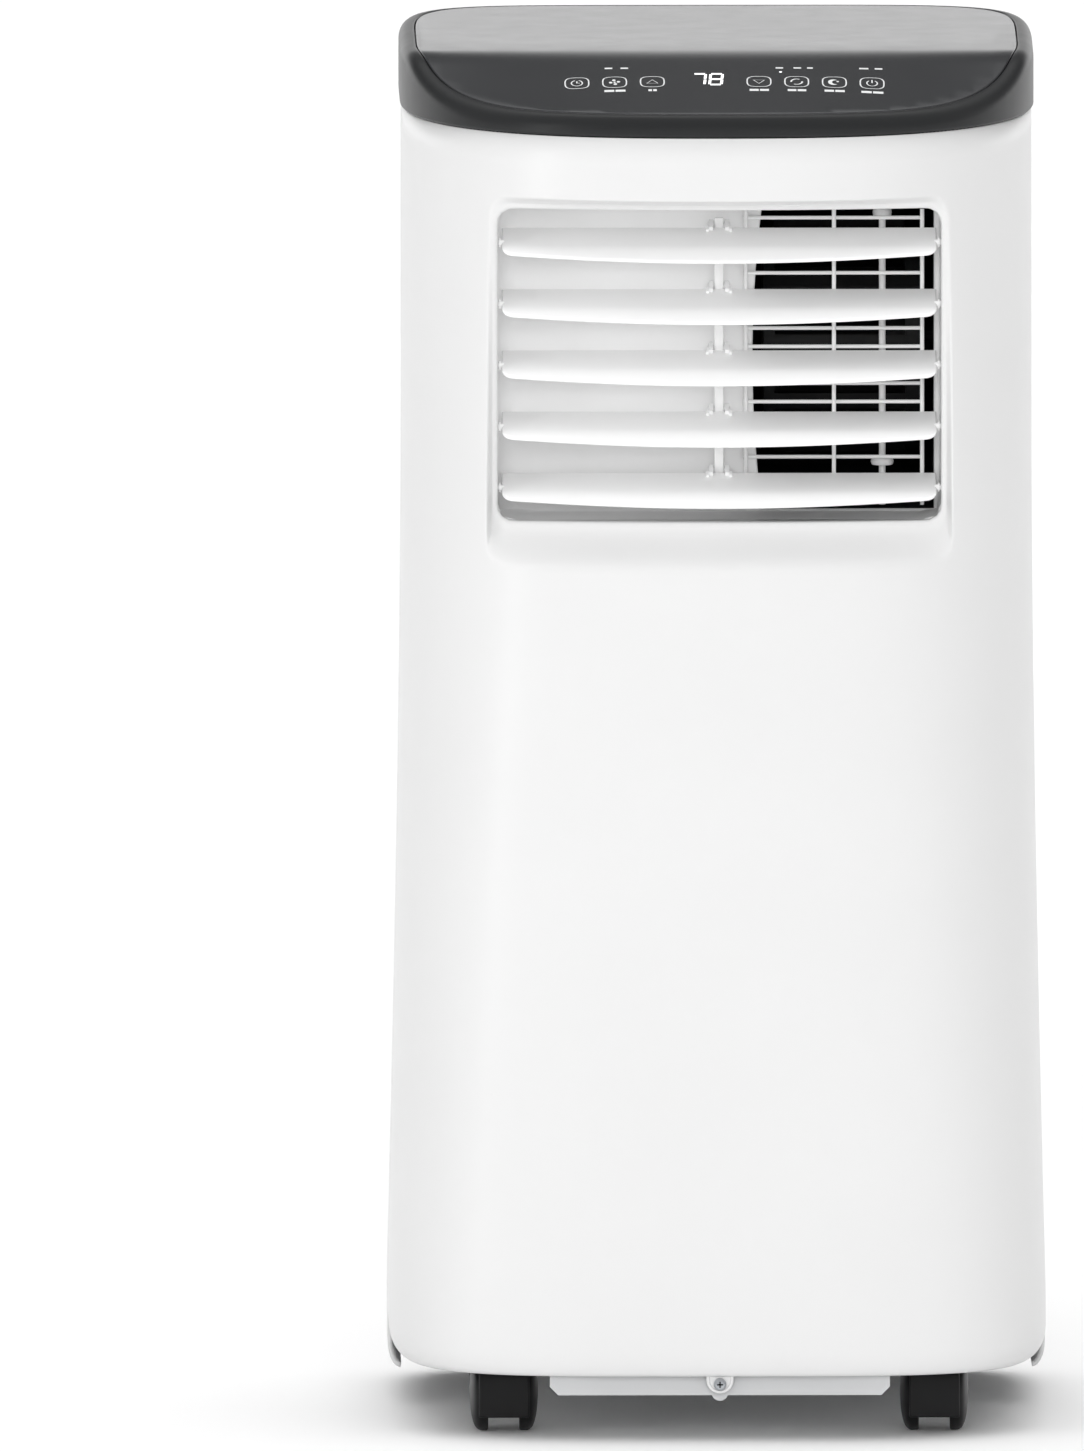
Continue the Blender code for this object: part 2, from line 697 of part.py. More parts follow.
def duct_post():
    profile = [(0, 0), (0.0016, 0), (0.0016, 0.0130), (0.0034, 0.0130), (0.0034, 0.0150), (0.0016, 0.0150)]
    profile += [(0.0016, 0.0190), (0.0055, 0.0190), (0.0055, 0.0225), (0.0016, 0.0225)]
    profile += [(0.0016, 0.1360), (0.0046, 0.1372), (0.0046, 0.1412), (0, 0.1412)]
    post = turned("duct_post", profile, (0.0776, -0.0905, 0.4392), Z, 10)
    return finish(post, "duct_post", grey_plastic())


# --- blowers -------------------------------------------------------------------------------


def blower_wheel(name, hub, axis, length, shaft_length):
    """A drum with slots between its blades, a disc at its hub end and a shaft out of that end."""
    profile = [(0, 0), (WHEEL_RADIUS, 0), (WHEEL_RADIUS, length), (WHEEL_RADIUS - 0.008, length)]
    profile += [(WHEEL_RADIUS - 0.008, 0.003), (0.014, 0.003), (0.012, 0.016), (0, 0.016)]
    drum = turned(name, profile, (0, 0, 0), Z, 24)
    edit = bmesh.new()
    slots = 12
    for slot in range(slots):
        spin = Matrix.Rotation(math.tau * (slot + 0.5) / slots, 4, "Z")
        place = Matrix.Translation((WHEEL_RADIUS - 0.004, 0, length / 2 + 0.001))
        lean = Matrix.Rotation(math.radians(25), 4, "Z")
        size = Matrix.Diagonal((0.022, 0.0185, length - 0.012, 1))
        bmesh.ops.create_cube(edit, size=1.0, matrix=spin @ place @ lean @ size)
    drum = cut(drum, body_from("slots", edit))
    drum = weld(drum, cylinder("shaft", (0, 0, -shaft_length), Z, shaft_length + 0.01, SHAFT, 12))
    drum.data.transform(turned_to(axis))
    drum.data.transform(Matrix.Translation(hub))
    return drum


def motor(name, face, axis, length, radius):
    """A motor can with rounded ends and a blind bearing bore in its face; axis points away from the face."""
    ease = 0.005
    profile = [(0, 0), (radius - ease, 0), (radius, ease), (radius, length - ease), (radius - ease, length)]
    profile += [(0.012, length), (0.012, length + 0.0004), (0, length + 0.0004)]
    can = turned(name, profile, face, axis, 20)
    return cut(can, cylinder("bore", Vector(face) - axis * 0.002, axis, 0.018, SHAFT_HOLE, 12))


def blower_housing():
    """The cool-air scroll: a drum with its mouth to the front and its inlet on the left."""
    inside = (COOL_LOW_X + SHEET, COOL_HIGH_X - SHEET)
    low_z, high_z = COOL_Z - SCROLL_RADIUS, COOL_Z + SCROLL_RADIUS
    width = COOL_HIGH_X - COOL_LOW_X
    mouth_y = DUCT_BACK_Y + GAP
    drum_start = (COOL_LOW_X, COOL_Y, COOL_Z)
    shell = cylinder("blower_housing", drum_start, X, width, SCROLL_RADIUS, 28)
    shell = weld(shell, box("throat", (COOL_LOW_X, mouth_y, low_z), (COOL_HIGH_X, COOL_Y, high_z)))
    inner_start = (inside[0], COOL_Y, COOL_Z)
    hollow = cylinder("hollow", inner_start, X, width - 2 * SHEET, SCROLL_RADIUS - SHEET, 28)
    throat = box("way", (inside[0], mouth_y - 0.01, low_z + SHEET), (inside[1], COOL_Y, high_z - SHEET))
    shell = cut(shell, weld(hollow, throat))
    shell = cut(shell, cylinder("inlet", (COOL_LOW_X - 0.01, COOL_Y, COOL_Z), X, 0.02, INLET_RADIUS, 24))
    shell = cut(shell, cylinder("shaft_hole", (COOL_HIGH_X - 0.01, COOL_Y, COOL_Z), X, 0.02, 0.006, 16))
    return finish(shell, "blower_housing", dark_plastic())


def exhaust_housing():
    """The hot-air scroll: a drum with its inlet behind, a chimney and a round outlet behind."""
    depth = HOT_REAR_Y - HOT_FRONT_Y
    half = EXHAUST_RADIUS + 0.004
    top = EXHAUST_Z + half
    shell = cylinder("exhaust_housing", (HOT_X, HOT_FRONT_Y, HOT_Z), Y, depth, SCROLL_RADIUS, 28)
    chimney = ((EXHAUST_X - half, HOT_FRONT_Y, HOT_Z), (EXHAUST_X + half, HOT_REAR_Y, top))
    shell = weld(shell, box("chimney", *chimney))
    spout_start = (EXHAUST_X, HOT_REAR_Y - 0.004, EXHAUST_Z)
    shell = weld(shell, cylinder("spout", spout_start, Y, 0.056, EXHAUST_RADIUS + SHEET, 32))
    inner_start = (HOT_X, HOT_FRONT_Y + SHEET, HOT_Z)
    hollow = cylinder("hollow", inner_start, Y, depth - 2 * SHEET, SCROLL_RADIUS - SHEET, 28)
    low = (EXHAUST_X - half + SHEET, HOT_FRONT_Y + SHEET, HOT_Z)
    high = (EXHAUST_X + half - SHEET, HOT_REAR_Y - SHEET, top - SHEET)
    hollow = weld(hollow, box("rise", low, high))
    bore_start = (EXHAUST_X, HOT_REAR_Y - 0.010, EXHAUST_Z)
    hollow = weld(hollow, cylinder("bore", bore_start, Y, 0.080, EXHAUST_RADIUS, 32))
    shell = cut(shell, hollow)
    shell = cut(shell, cylinder("inlet", (HOT_X, HOT_REAR_Y - 0.01, HOT_Z), Y, 0.02, INLET_RADIUS, 24))
    shell = cut(shell, cylinder("shaft_hole", (HOT_X, HOT_FRONT_Y - 0.01, HOT_Z), Y, 0.02, 0.006, 16))
    return finish(shell, "exhaust_housing", dark_plastic())


def blowers():
    blower_housing()
    hub = Vector((COOL_HIGH_X - SHEET - 0.006, COOL_Y, COOL_Z))
    finish(blower_wheel("blower_wheel", hub, -X, 0.074, 0.016), "blower_wheel", grey_plastic(), hub)
    face = Vector((COOL_HIGH_X + GAP, COOL_Y, COOL_Z))
    finish(motor("blower_motor", face, X, 0.038, 0.032), "blower_motor", steel())
    exhaust_housing()
    hub = Vector((HOT_X, HOT_FRONT_Y + SHEET + 0.004, HOT_Z))
    finish(blower_wheel("exhaust_wheel", hub, Y, 0.050, 0.016), "exhaust_wheel", dark_plastic(), hub)
    face = Vector((HOT_X, HOT_FRONT_Y - GAP, HOT_Z))
    finish(motor("exhaust_motor", face, -Y, 0.058, 0.036), "exhaust_motor", steel())


def exhaust_collar():
    """The flanged ring that the hose's end slides into."""
    outer = EXHAUST_RADIUS + 0.0035
    profile = [(EXHAUST_RADIUS, COLLAR_FRONT_Y), (outer, COLLAR_FRONT_Y), (outer, COLLAR_FLANGE_Y)]
    profile += [(COLLAR_RADIUS, COLLAR_FLANGE_Y), (COLLAR_RADIUS, COLLAR_BACK_Y), (EXHAUST_RADIUS, COLLAR_BACK_Y)]
    collar = turned("exhaust_collar", profile, (EXHAUST_X, 0, EXHAUST_Z), Y, ring=True)
    return finish(collar, "exhaust_collar", white_plastic())


# --- the cooling circuit -------------------------------------------------------------------


def coil(name, low, high, bends):
    """A finned block with the return bends of its tubes at both ends."""
    block = box(name, low, high)
    middle_y = (low[1] + high[1]) / 2
    pitch = (high[2] - low[2]) / bends
    for bend in range(bends):
        base = low[2] + pitch * (bend + 0.2)
        start = (low[0] - 0.007, middle_y - 0.004, base)
        size = (high[0] - low[0] + 0.014, 0.008, pitch * 0.6)
        block = weld(block, box("bend", start, [a + b for a, b in zip(start, size)]))
    return finish(block, name, aluminium())


def compressor():
    base = 0.0655
    profile = [(0, base), (COMPRESSOR_RADIUS - 0.012, base), (COMPRESSOR_RADIUS, base + 0.010)]
    profile += [(COMPRESSOR_RADIUS, 0.188), (COMPRESSOR_RADIUS - 0.005, 0.203)]
    profile += [(COMPRESSOR_RADIUS - 0.018, 0.215), (0.010, 0.221), (0, 0.221)]
    can = turned("compressor", profile, (COMPRESSOR_X, COMPRESSOR_Y, 0), Z, 28)
    points = []
    for foot in range(3):
        for offset, reach in ((-10, 0.068), (10, 0.068), (35, 0.047), (60, 0.040), (85, 0.047)):
            angle = math.radians(90 + 120 * foot + offset)
            x = COMPRESSOR_X + reach * math.cos(angle)
            points.append(Vector((x, COMPRESSOR_Y + reach * math.sin(angle), 0.0622)))
    can = weld(can, prism("plate", points, Z * 0.0045))
    return finish(can, "compressor", black_enamel())


def compressor_feet():
    for foot in range(3):
        angle = math.radians(90 + 120 * foot)
        x = COMPRESSOR_X + FOOT_REACH * math.cos(angle)
        y = COMPRESSOR_Y + FOOT_REACH * math.sin(angle)
        base, top = PAN_FLOOR + WALL + GAP, 0.0618
        profile = [(0, base), (FOOT_RADIUS, base), (FOOT_RADIUS, base + 0.004)]
        profile += [(FOOT_RADIUS - 0.002, base + 0.006), (FOOT_RADIUS, base + 0.008)]
        profile += [(FOOT_RADIUS, top), (0, top)]
        pad = turned("foot", profile, (x, y, 0), Z, 10)
        finish(pad, f"compressor_foot_{foot + 1}", rubber())


def accumulator():
    profile = [(0, 0.110), (0.008, 0.110), (0.017, 0.122), (0.017, 0.190), (0.008, 0.203), (0, 0.203)]
    return finish(turned("accumulator", profile, (-0.078, 0.052, 0), Z, 24), "accumulator", black_enamel())


def pipe(name, route, radius):
    """A bent tube through points set by hand, rounded between them."""
    points = [Vector(point) for point in route]
    padded = [2 * points[0] - points[1]] + points + [2 * points[-1] - points[-2]]
    smooth = []
    for before, start, end, after in zip(padded, padded[1:], padded[2:], padded[3:]):
        smooth.append(start)
        smooth.append((9 * (start + end) - before - after) / 16)
    smooth.append(points[-1])
    curve = bpy.data.curves.new(name, "CURVE")
    curve.dimensions = "3D"
    curve.bevel_depth = radius
    curve.bevel_resolution = 2
    curve.use_fill_caps = True
    spline = curve.splines.new("POLY")
    spline.points.add(len(smooth) - 1)
    for place, point in zip(spline.points, smooth):
        place.co = (*point, 1.0)
    tube = bpy.data.objects.new(name, curve)
    bpy.context.scene.collection.objects.link(tube)
    curve.materials.append(copper())
    return tube


def pipes():
    pipe(
        "discharge_pipe",
        [
            (-0.060, -0.025, 0.2240),
            (-0.060, -0.025, 0.245),
            (-0.070, -0.012, 0.262),
            (-0.100, 0.025, 0.264),
            (-0.122, 0.070, 0.258),
            (-0.132, 0.100, 0.245),
            (-0.134, 0.115, 0.225),
            (-0.134, 0.120, 0.200),
        ],
        0.0030,
    )
    pipe(
        "suction_pipe",
        [
            (-0.078, 0.052, 0.2040),
            (-0.078, 0.052, 0.225),
            (-0.092, 0.055, 0.255),
            (-0.115, 0.060, 0.290),
            (-0.125, 0.062, 0.330),
            (-0.125, 0.062, 0.380),
            (-0.125, 0.062, 0.415),
            (-0.126, 0.070, 0.435),
            (-0.130, 0.100, 0.450),
            (-0.1315, 0.120, 0.456),
            (-0.1320, 0.131, 0.457),
        ],
        0.0040,
    )


# --- trays, electrics and small fittings ---------------------------------------------------


def base_pan():
    pan = tray("base_pan", PAN_FLOOR, PAN_RIM, WALL + 0.0007)
    wide, top, ease = LIP_HALF_WIDTH, PAN_FLOOR + 0.001, 0.004
    lip = [(wide, top), (-wide, top), (-wide, LIP_LOW + ease)]
    lip += [(-wide + ease, LIP_LOW), (wide - ease, LIP_LOW), (wide, LIP_LOW + ease)]
    pan = weld(pan, prism("lip", [Vector((x, LIP_Y, z)) for x, z in lip], Y * WALL))
    pan = weld(pan, screw_tab("lobe", 0.0041, 0.0188, 0.0300, LIP_Y, WALL))
    corners = [(x * CASTER_X, y * CASTER_Y) for x in (-1, 1) for y in (-1, 1)]
    places = [(x, y, PAN_FLOOR + 0.001) for x, y in corners]
    pan = weld(pan, rods("sockets", places, Z, 0.0170, 0.0085, 14))
    places = [(x, y, PAN_FLOOR - 0.01) for x, y in corners]
    socket_depth = CASTER_STEM_TOP - PAN_FLOOR + 0.0106
    pan = cut(pan, rods("socket_holes", places, Z, socket_depth, CASTER_SOCKET, 14))
    pan = cut(pan, cylinder("hole", (0, LIP_Y - 0.005, SCREW_Z), Y, 0.01, SCREW_HOLE, 12))
    pan = cut(pan, cylinder("drain", (DRAIN_X, 0.15, DRAIN_Z), Y, 0.02, DRAIN_RADIUS - 0.0009, 20))
    return finish(pan, "base_pan", grey_plastic())


def base_screw():
    profile = [(0, -0.0020), (0.0022, -0.0020), (0.0030, -0.0012), (0.0030, -0.0004), (0.0013, -0.0004)]
    profile += [(0.0013, 0.0080), (0, 0.0100)]
    screw = turned("base_screw", profile, (0, SCREW_Y, SCREW_Z), Y, 12)
    for wide, tall in ((0.0016, 0.0003), (0.0003, 0.0016)):
        low = (-wide, SCREW_Y - 0.003, SCREW_Z - tall)
        high = (wide, SCREW_Y - 0.0012, SCREW_Z + tall)
        screw = cut(screw, box("cross", low, high))
    return finish(screw, "base_screw", steel())


def mid_deck():
    deck = tray("mid_deck", DECK_FLOOR, DECK_RIM, WALL + 0.0007)
    hole = cylinder("pipe_way", (-0.125, 0.062, DECK_FLOOR - 0.01), Z, 0.02, 0.010, 20)
    return finish(cut(deck, hole), "mid_deck", grey_plastic())


def electrics():
    case = box("electrical_box", (-0.140, -0.060, 0.430), (-0.070, 0.040, 0.560))
    case = cut(case, box("inside", (-0.138, -0.058, 0.432), (-0.068, 0.038, 0.558)))
    finish(case, "electrical_box", steel())
    floor = DECK_FLOOR + WALL + GAP
    radius, terminal, shoulder, top = 0.017, 0.006, floor + 0.069, floor + 0.076
    profile = [(0, floor), (radius, floor), (radius, shoulder - 0.003), (radius - 0.002, shoulder)]
    profile += [(terminal, shoulder), (terminal, top), (0, top)]
    finish(turned("run_capacitor", profile, (-0.040, 0.0, 0), Z, 18), "run_capacitor", aluminium())


def drain_plug():
    """A rubber plug pushed into the pan's drain from behind."""
    seat, shank, rim = HALF_DEPTH - 0.0040, DRAIN_RADIUS - 0.0016, DRAIN_RADIUS
    profile = [(0, seat - 0.006), (shank, seat - 0.006), (shank + 0.0002, seat + 0.0008)]
    profile += [(rim, seat + 0.0014), (rim, seat + 0.0030), (rim - 0.001, seat + 0.0038)]
    profile += [(0, seat + 0.0038)]
    plug = turned("drain_plug", profile, (DRAIN_X, 0, DRAIN_Z), Y, 20)
    return finish(plug, "drain_plug", rubber(), origin=(DRAIN_X, seat, DRAIN_Z))


def cord_gland():
    """The bushing that the supply cord passes through."""
    back, length, bore = HALF_DEPTH - 0.0095, 0.0068, 0.0036
    profile = [(bore, back), (CORD_RADIUS, back), (CORD_RADIUS, back + length), (bore, back + length)]
    gland = turned("cord_gland", profile, (CORD_X, 0, CORD_Z), Y, 20, ring=True)
    return finish(gland, "cord_gland", black_plastic())


# --- casters -------------------------------------------------------------------------------


def caster_hood(name, swivel, facing):
    """The swivelling half: a hood over both treads, its web and its stem. It trails towards facing."""
    axle_y = CASTER_TRAIL
    reach = CASTER_HOOD_REACH
    low, top, shoulder = CASTER_HOOD_LOW, CASTER_TOP, 0.026
    points = [(axle_y + reach, low), (axle_y + reach, shoulder)]
    for step in range(1, 5):
        angle = math.radians(90.0 * step / 5)
        height = shoulder + (top - shoulder) * math.sin(angle)
        points.append((axle_y + reach * math.cos(angle), height))
    points += [(axle_y, top), (-0.009, top), (axle_y - reach, shoulder)]
    points += [(axle_y - reach, CASTER_WHEEL - 0.003), (axle_y - 0.004, CASTER_WHEEL - 0.006)]
    points.append((axle_y + 0.008, low))
    wide = CASTER_HOOD_HALF_WIDTH
    hood = prism(name, [Vector((-wide, y, z)) for y, z in points], X * 2 * wide)
    for side in (-1, 1):
        ends = sorted((side * (CASTER_TREAD[0] - 0.0008), side * 0.02))
        start = (ends[0], axle_y, CASTER_WHEEL)
        hood = cut(hood, cylinder("wheel_room", start, X, ends[1] - ends[0], CASTER_WHEEL + 0.0010, 22))
    hood = cut(hood, cylinder("axle_hole", (-0.02, axle_y, CASTER_WHEEL), X, 0.04, CASTER_AXLE_HOLE, 14))
    stem = cylinder("stem", (0, 0, top - 0.002), Z, CASTER_STEM_TOP - top + 0.002, CASTER_STEM, 12)
    hood = weld(hood, stem)
    hood.data.transform(Matrix.Rotation(0.0 if facing > 0 else math.pi, 4, "Z"))
    hood.data.transform(Matrix.Translation(swivel))
    return finish(hood, name, black_plastic(), origin=swivel)


def caster_wheels(name, axle):
    """Two treads with domed outer faces on one axle."""
    start, end = CASTER_TREAD
    profile = [(0, -end - CASTER_DOME)]
    for step in range(1, 3):
        angle = math.radians(90.0 * step / 3)
        radius = (CASTER_WHEEL - 0.0012) * math.sin(angle)
        profile.append((radius, -end - CASTER_DOME * math.cos(angle)))
    profile += [(CASTER_WHEEL, -end + 0.0004), (CASTER_WHEEL, -start), (CASTER_AXLE, -start)]
    profile += [(radius, -along) for radius, along in reversed(profile)]
    wheels = turned(name, profile, axle, X, 20)
    return finish(wheels, name, black_plastic(), origin=axle)


def casters():
    for end, facing in (("front", -1), ("rear", 1)):
        for hand, side in (("left", -1), ("right", 1)):
            swivel = Vector((side * CASTER_X, facing * CASTER_Y, 0.0))
            caster_hood(f"caster_hood_{end}_{hand}", swivel, facing)
            axle = swivel + Vector((0.0, facing * CASTER_TRAIL, CASTER_WHEEL))
            caster_wheels(f"caster_wheels_{end}_{hand}", axle)


# --- materials -----------------------------------------------------------------------------


def white_plastic():
    return make_material("white_abs", (0.86, 0.86, 0.85), 0.32)


def charcoal_plastic():
    return make_material("charcoal_abs", (0.055, 0.056, 0.058), 0.35)


def grey_plastic():
    return make_material("light_grey_plastic", (0.62, 0.63, 0.64), 0.45)


def dark_plastic():
    return make_material("dark_plastic", (0.03, 0.03, 0.032), 0.5)


def black_plastic():
    return make_material("black_nylon", (0.012, 0.012, 0.013), 0.4)


def black_enamel():
    return make_material("black_enamel", (0.02, 0.02, 0.022), 0.3)


def white_wire():
    return make_material("white_coated_wire", (0.80, 0.80, 0.80), 0.35)


def rubber():
    return make_material("rubber", (0.03, 0.03, 0.03), 0.8)


def steel():
    return make_material("zinc_plated_steel", (0.60, 0.60, 0.61), 0.35, 1.0)


def aluminium():
    return make_material("aluminium", (0.80, 0.81, 0.82), 0.35, 1.0)


def copper():
    return make_material("copper", (0.72, 0.42, 0.28), 0.35, 1.0)


def circuit_green():
    return make_material("circuit_board", (0.03, 0.16, 0.07), 0.5)


def build():
    clear_scene()
    front_casing()
    rear_casing()
    top_cover()
    control_panel()
    control_board()
    display_module()
    outlet_duct()
    louvres()
    louvre_link()
    outlet_guard()
    duct_post()
    blowers()
    exhaust_collar()
    coil("evaporator_coil", (-0.118, 0.118, 0.425), (0.118, 0.142, 0.605), 6)
    coil("condenser_coil", (-0.120, 0.108, 0.0675), (0.128, 0.132, 0.236), 5)
    compressor()
    compressor_feet()
    accumulator()
    pipes()
    base_pan()
    base_screw()
    mid_deck()
    electrics()
    filter_cover()
    filter_mesh()
    lower_grille()
    drain_plug()
    cord_gland()
    casters()


build()
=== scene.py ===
"""The looks of a small portable air conditioner on casters: its visible pieces, materials, light and camera.

Metres, +Z up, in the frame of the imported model, where the front faces -Y.
"""

import math

import bmesh
import bpy
from mathutils import Matrix, Vector


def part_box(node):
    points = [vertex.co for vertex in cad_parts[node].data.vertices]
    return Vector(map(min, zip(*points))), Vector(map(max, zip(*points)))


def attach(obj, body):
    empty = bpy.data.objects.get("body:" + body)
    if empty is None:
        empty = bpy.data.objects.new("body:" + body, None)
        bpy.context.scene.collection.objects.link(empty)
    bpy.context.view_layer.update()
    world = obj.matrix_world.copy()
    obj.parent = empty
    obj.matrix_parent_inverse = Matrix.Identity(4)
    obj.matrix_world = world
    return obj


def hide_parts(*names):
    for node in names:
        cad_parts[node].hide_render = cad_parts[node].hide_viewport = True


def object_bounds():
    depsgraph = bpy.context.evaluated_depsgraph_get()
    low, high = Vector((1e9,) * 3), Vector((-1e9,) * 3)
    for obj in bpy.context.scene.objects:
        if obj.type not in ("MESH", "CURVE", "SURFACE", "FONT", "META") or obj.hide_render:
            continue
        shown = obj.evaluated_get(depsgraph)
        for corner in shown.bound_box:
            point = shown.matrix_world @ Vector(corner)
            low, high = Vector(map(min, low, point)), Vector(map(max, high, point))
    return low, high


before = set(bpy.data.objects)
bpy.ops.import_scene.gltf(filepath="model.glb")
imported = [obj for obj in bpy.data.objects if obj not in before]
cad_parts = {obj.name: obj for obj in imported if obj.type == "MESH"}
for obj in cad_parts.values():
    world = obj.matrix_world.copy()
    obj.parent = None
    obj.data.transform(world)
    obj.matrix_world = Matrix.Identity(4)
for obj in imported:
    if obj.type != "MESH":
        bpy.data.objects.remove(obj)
cad_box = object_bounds()

X = Vector((1.0, 0.0, 0.0))
Y = Vector((0.0, 1.0, 0.0))
Z = Vector((0.0, 0.0, 1.0))

# The body: its height and depth are the frame's own
HEIGHT = cad_box[1].z
HALF_DEPTH = cad_box[1].y
TOP_HALF_WIDTH = 0.1492
FLARE = 0.0065
FLARE_START = 0.460
FLARE_END = 0.060
FRONT_POWER_TOP = 2.6  # the front's plan is a superellipse, rounder at the top
FRONT_POWER_LOW = 4.4
REAR_POWER = 6.0
POWER_LOW_Z = 0.046
CAP_BOTTOM = 0.622
SPLIT_Y = 0.010
GAP = 0.0004
SKIN = 0.0022  # the casings' wall
FRONT_BOTTOM = 0.031
REAR_BOTTOM = 0.017
HEM_HEIGHT = 0.012
FRONT_HEM = (0.009, 0.004)
REAR_HEM = (0.006, 0.004)

# The cap
CAP_OVERHANG = 0.001
CAP_ROUNDING = 0.006
PANEL_INSET = 0.008
PANEL_THICKNESS = 0.0026
CREASE_Y = -0.050
CREASE_HALF_SPAN = 0.014
PANEL_SLOPE = 0.165
SHOULDER_FALL = 1.0  # how much more steeply the slope falls at the sides than in the middle

# The outlet
OUTLET = (0.105, 0.4364, 0.5852, 0.007)  # half width, bottom, top, corner radius
BAY = (0.111, 0.4151, 0.5920, 0.009)
BAY_FLOOR_Y = -0.145
BAY_BOW = 0.0105
LIP = 0.0022
OUTLET_EDGE = (OUTLET[0] + LIP, OUTLET[1] - LIP, OUTLET[2] + LIP, OUTLET[3] + LIP)
DUCT_FRONT_Y = -0.1292
DUCT_BACK_Y = -0.096
DUCT_WALL = 0.0025
MOUTH_LEFT_X = 0.0205
MOUTH_RIGHT_X = 0.1020
MOUTH_BULGE = 0.0045
MOUTH_Z = (0.4380, 0.5820)

# The louvres
LOUVRE_COUNT = 5
LOUVRE_PITCH = 0.02923
LOUVRE_TOP_PIVOT = 0.5681
LOUVRE_PIVOT_Y = -0.126
LOUVRE_HALF_LENGTH = 0.103
LOUVRE_TILT = math.radians(20.0)
LOUVRE_BEHIND = 0.0144
LOUVRE_AHEAD = 0.0118
LOUVRE_BOW = 0.0053
LOUVRE_THICKNESS = 0.0018
LOUVRE_CORNER = 0.0057
LINK_BEHIND = 0.0186
LINK_HALF_WIDTH = 0.0022
LINK_HALF_DEPTH = 0.0015
PIN = 0.0014

# The guard
GUARD_ROWS = 16
GUARD_PITCH = 0.00877
GUARD_TOP = 0.5770
GUARD_WIRE_Y = -0.1002
GUARD_UPRIGHT_Y = -0.1014
GUARD_UPRIGHTS = (0.0128, 0.0546, 0.0964)
GUARD_WIRE = 0.0009  # radius
GUARD_UPRIGHT = 0.0010

# The rear
VENT_HALF_WIDTH = 0.118
UPPER_VENT = (0.425, 0.600)
LOWER_VENT = (0.064, 0.230)
VENT_ROWS = 10
VENT_BAR = 0.006
VENT_MARGIN = 0.011
EXHAUST = (0.040, 0.325)
EXHAUST_RADIUS = 0.058
COLLAR_RADIUS = 0.066
GRIP_Y = (0.050, 0.115)
GRIP_Z = (0.470, 0.505)
GRIP_DEPTH_X = 0.126
# Each ring of a grip: how far in from its edge, and its share of the depth
GRIP_RINGS = ((0.0, 0.0), (0.0008, 0.02), (0.0014, 0.06), (0.0024, 0.90), (0.0040, 0.985), (0.0060, 1.0))
DRAIN = (-0.030, 0.0545)
DRAIN_RADIUS = 0.0075
CORD = (-0.112, 0.270)
CORD_RADIUS = 0.0070

# The casters
CASTER_X = 0.102
CASTER_Y = 0.100
CASTER_TRAIL = 0.008
CASTER_TOP = 0.0445
CASTER_WHEEL = 0.019


# --- nodes and materials -------------------------------------------------------------------


def linear(code):
    """The linear colour of an sRGB hex value."""
    shares = [int(code[place : place + 2], 16) / 255.0 for place in (0, 2, 4)]
    bent = [share / 12.92 if share <= 0.04045 else ((share + 0.055) / 1.055) ** 2.4 for share in shares]
    return (*bent, 1.0)


def add(tree, kind, inputs=None, **settings):
    """Adds a node, sets its settings, and gives each of its inputs a value or a link."""
    made = tree.nodes.new(kind)
    for name, value in settings.items():
        setattr(made, name, value)
    for socket, value in (inputs or {}).items():
        if isinstance(value, bpy.types.NodeSocket):
            tree.links.new(value, made.inputs[socket])
        else:
            made.inputs[socket].default_value = value
    return made


def blank(name, **sockets):
    """A material's tree, its shader with these constant sockets, and its object coordinates."""
    material = bpy.data.materials.new(name)
    material.use_nodes = True
    tree = material.node_tree
    shader = tree.nodes["Principled BSDF"]
    for socket, value in sockets.items():
        shader.inputs[socket.replace("_", " ")].default_value = value
    place = add(tree, "ShaderNodeTexCoord").outputs["Object"]
    return material, tree, shader, place


def plastic(name, light, dark, roughness, spread, grain_mm, grain_depth, **sockets):
    """A moulded plastic: cloudy pigment, patchy gloss, fine mould grain and slow sink marks."""
    material, tree, shader, place = blank(name, **sockets)
    cloud = add(tree, "ShaderNodeTexNoise", {"Vector": place, "Scale": 1 / 0.070, "Detail": 3.0})
    tint = add(
        tree,
        "ShaderNodeMix",
        {"Factor": cloud.outputs["Fac"], "A": linear(dark), "B": linear(light)},
        data_type="RGBA",
    )
    tree.links.new(tint.outputs["Result"], shader.inputs["Base Color"])
    patch = add(tree, "ShaderNodeTexNoise", {"Vector": place, "Scale": 1 / 0.018, "Detail": 4.0})
    gloss = add(
        tree,
        "ShaderNodeMapRange",
        {"Value": patch.outputs["Fac"], "To Min": roughness - spread, "To Max": roughness + spread},
    )
    tree.links.new(gloss.outputs["Result"], shader.inputs["Roughness"])
    sink = add(tree, "ShaderNodeTexNoise", {"Vector": place, "Scale": 1 / 0.045, "Detail": 1.0})
    wave = add(
        tree, "ShaderNodeBump", {"Height": sink.outputs["Fac"], "Strength": 0.10, "Distance": 0.0004}
    )
    grain = add(tree, "ShaderNodeTexNoise", {"Vector": place, "Scale": 1000.0 / grain_mm, "Detail": 2.0})
    bump = add(
        tree,
        "ShaderNodeBump",
        {
            "Height": grain.outputs["Fac"],
            "Normal": wave.outputs["Normal"],
            "Strength": 0.5,
            "Distance": grain_depth,
        },
    )
    tree.links.new(bump.outputs["Normal"], shader.inputs["Normal"])
    return material


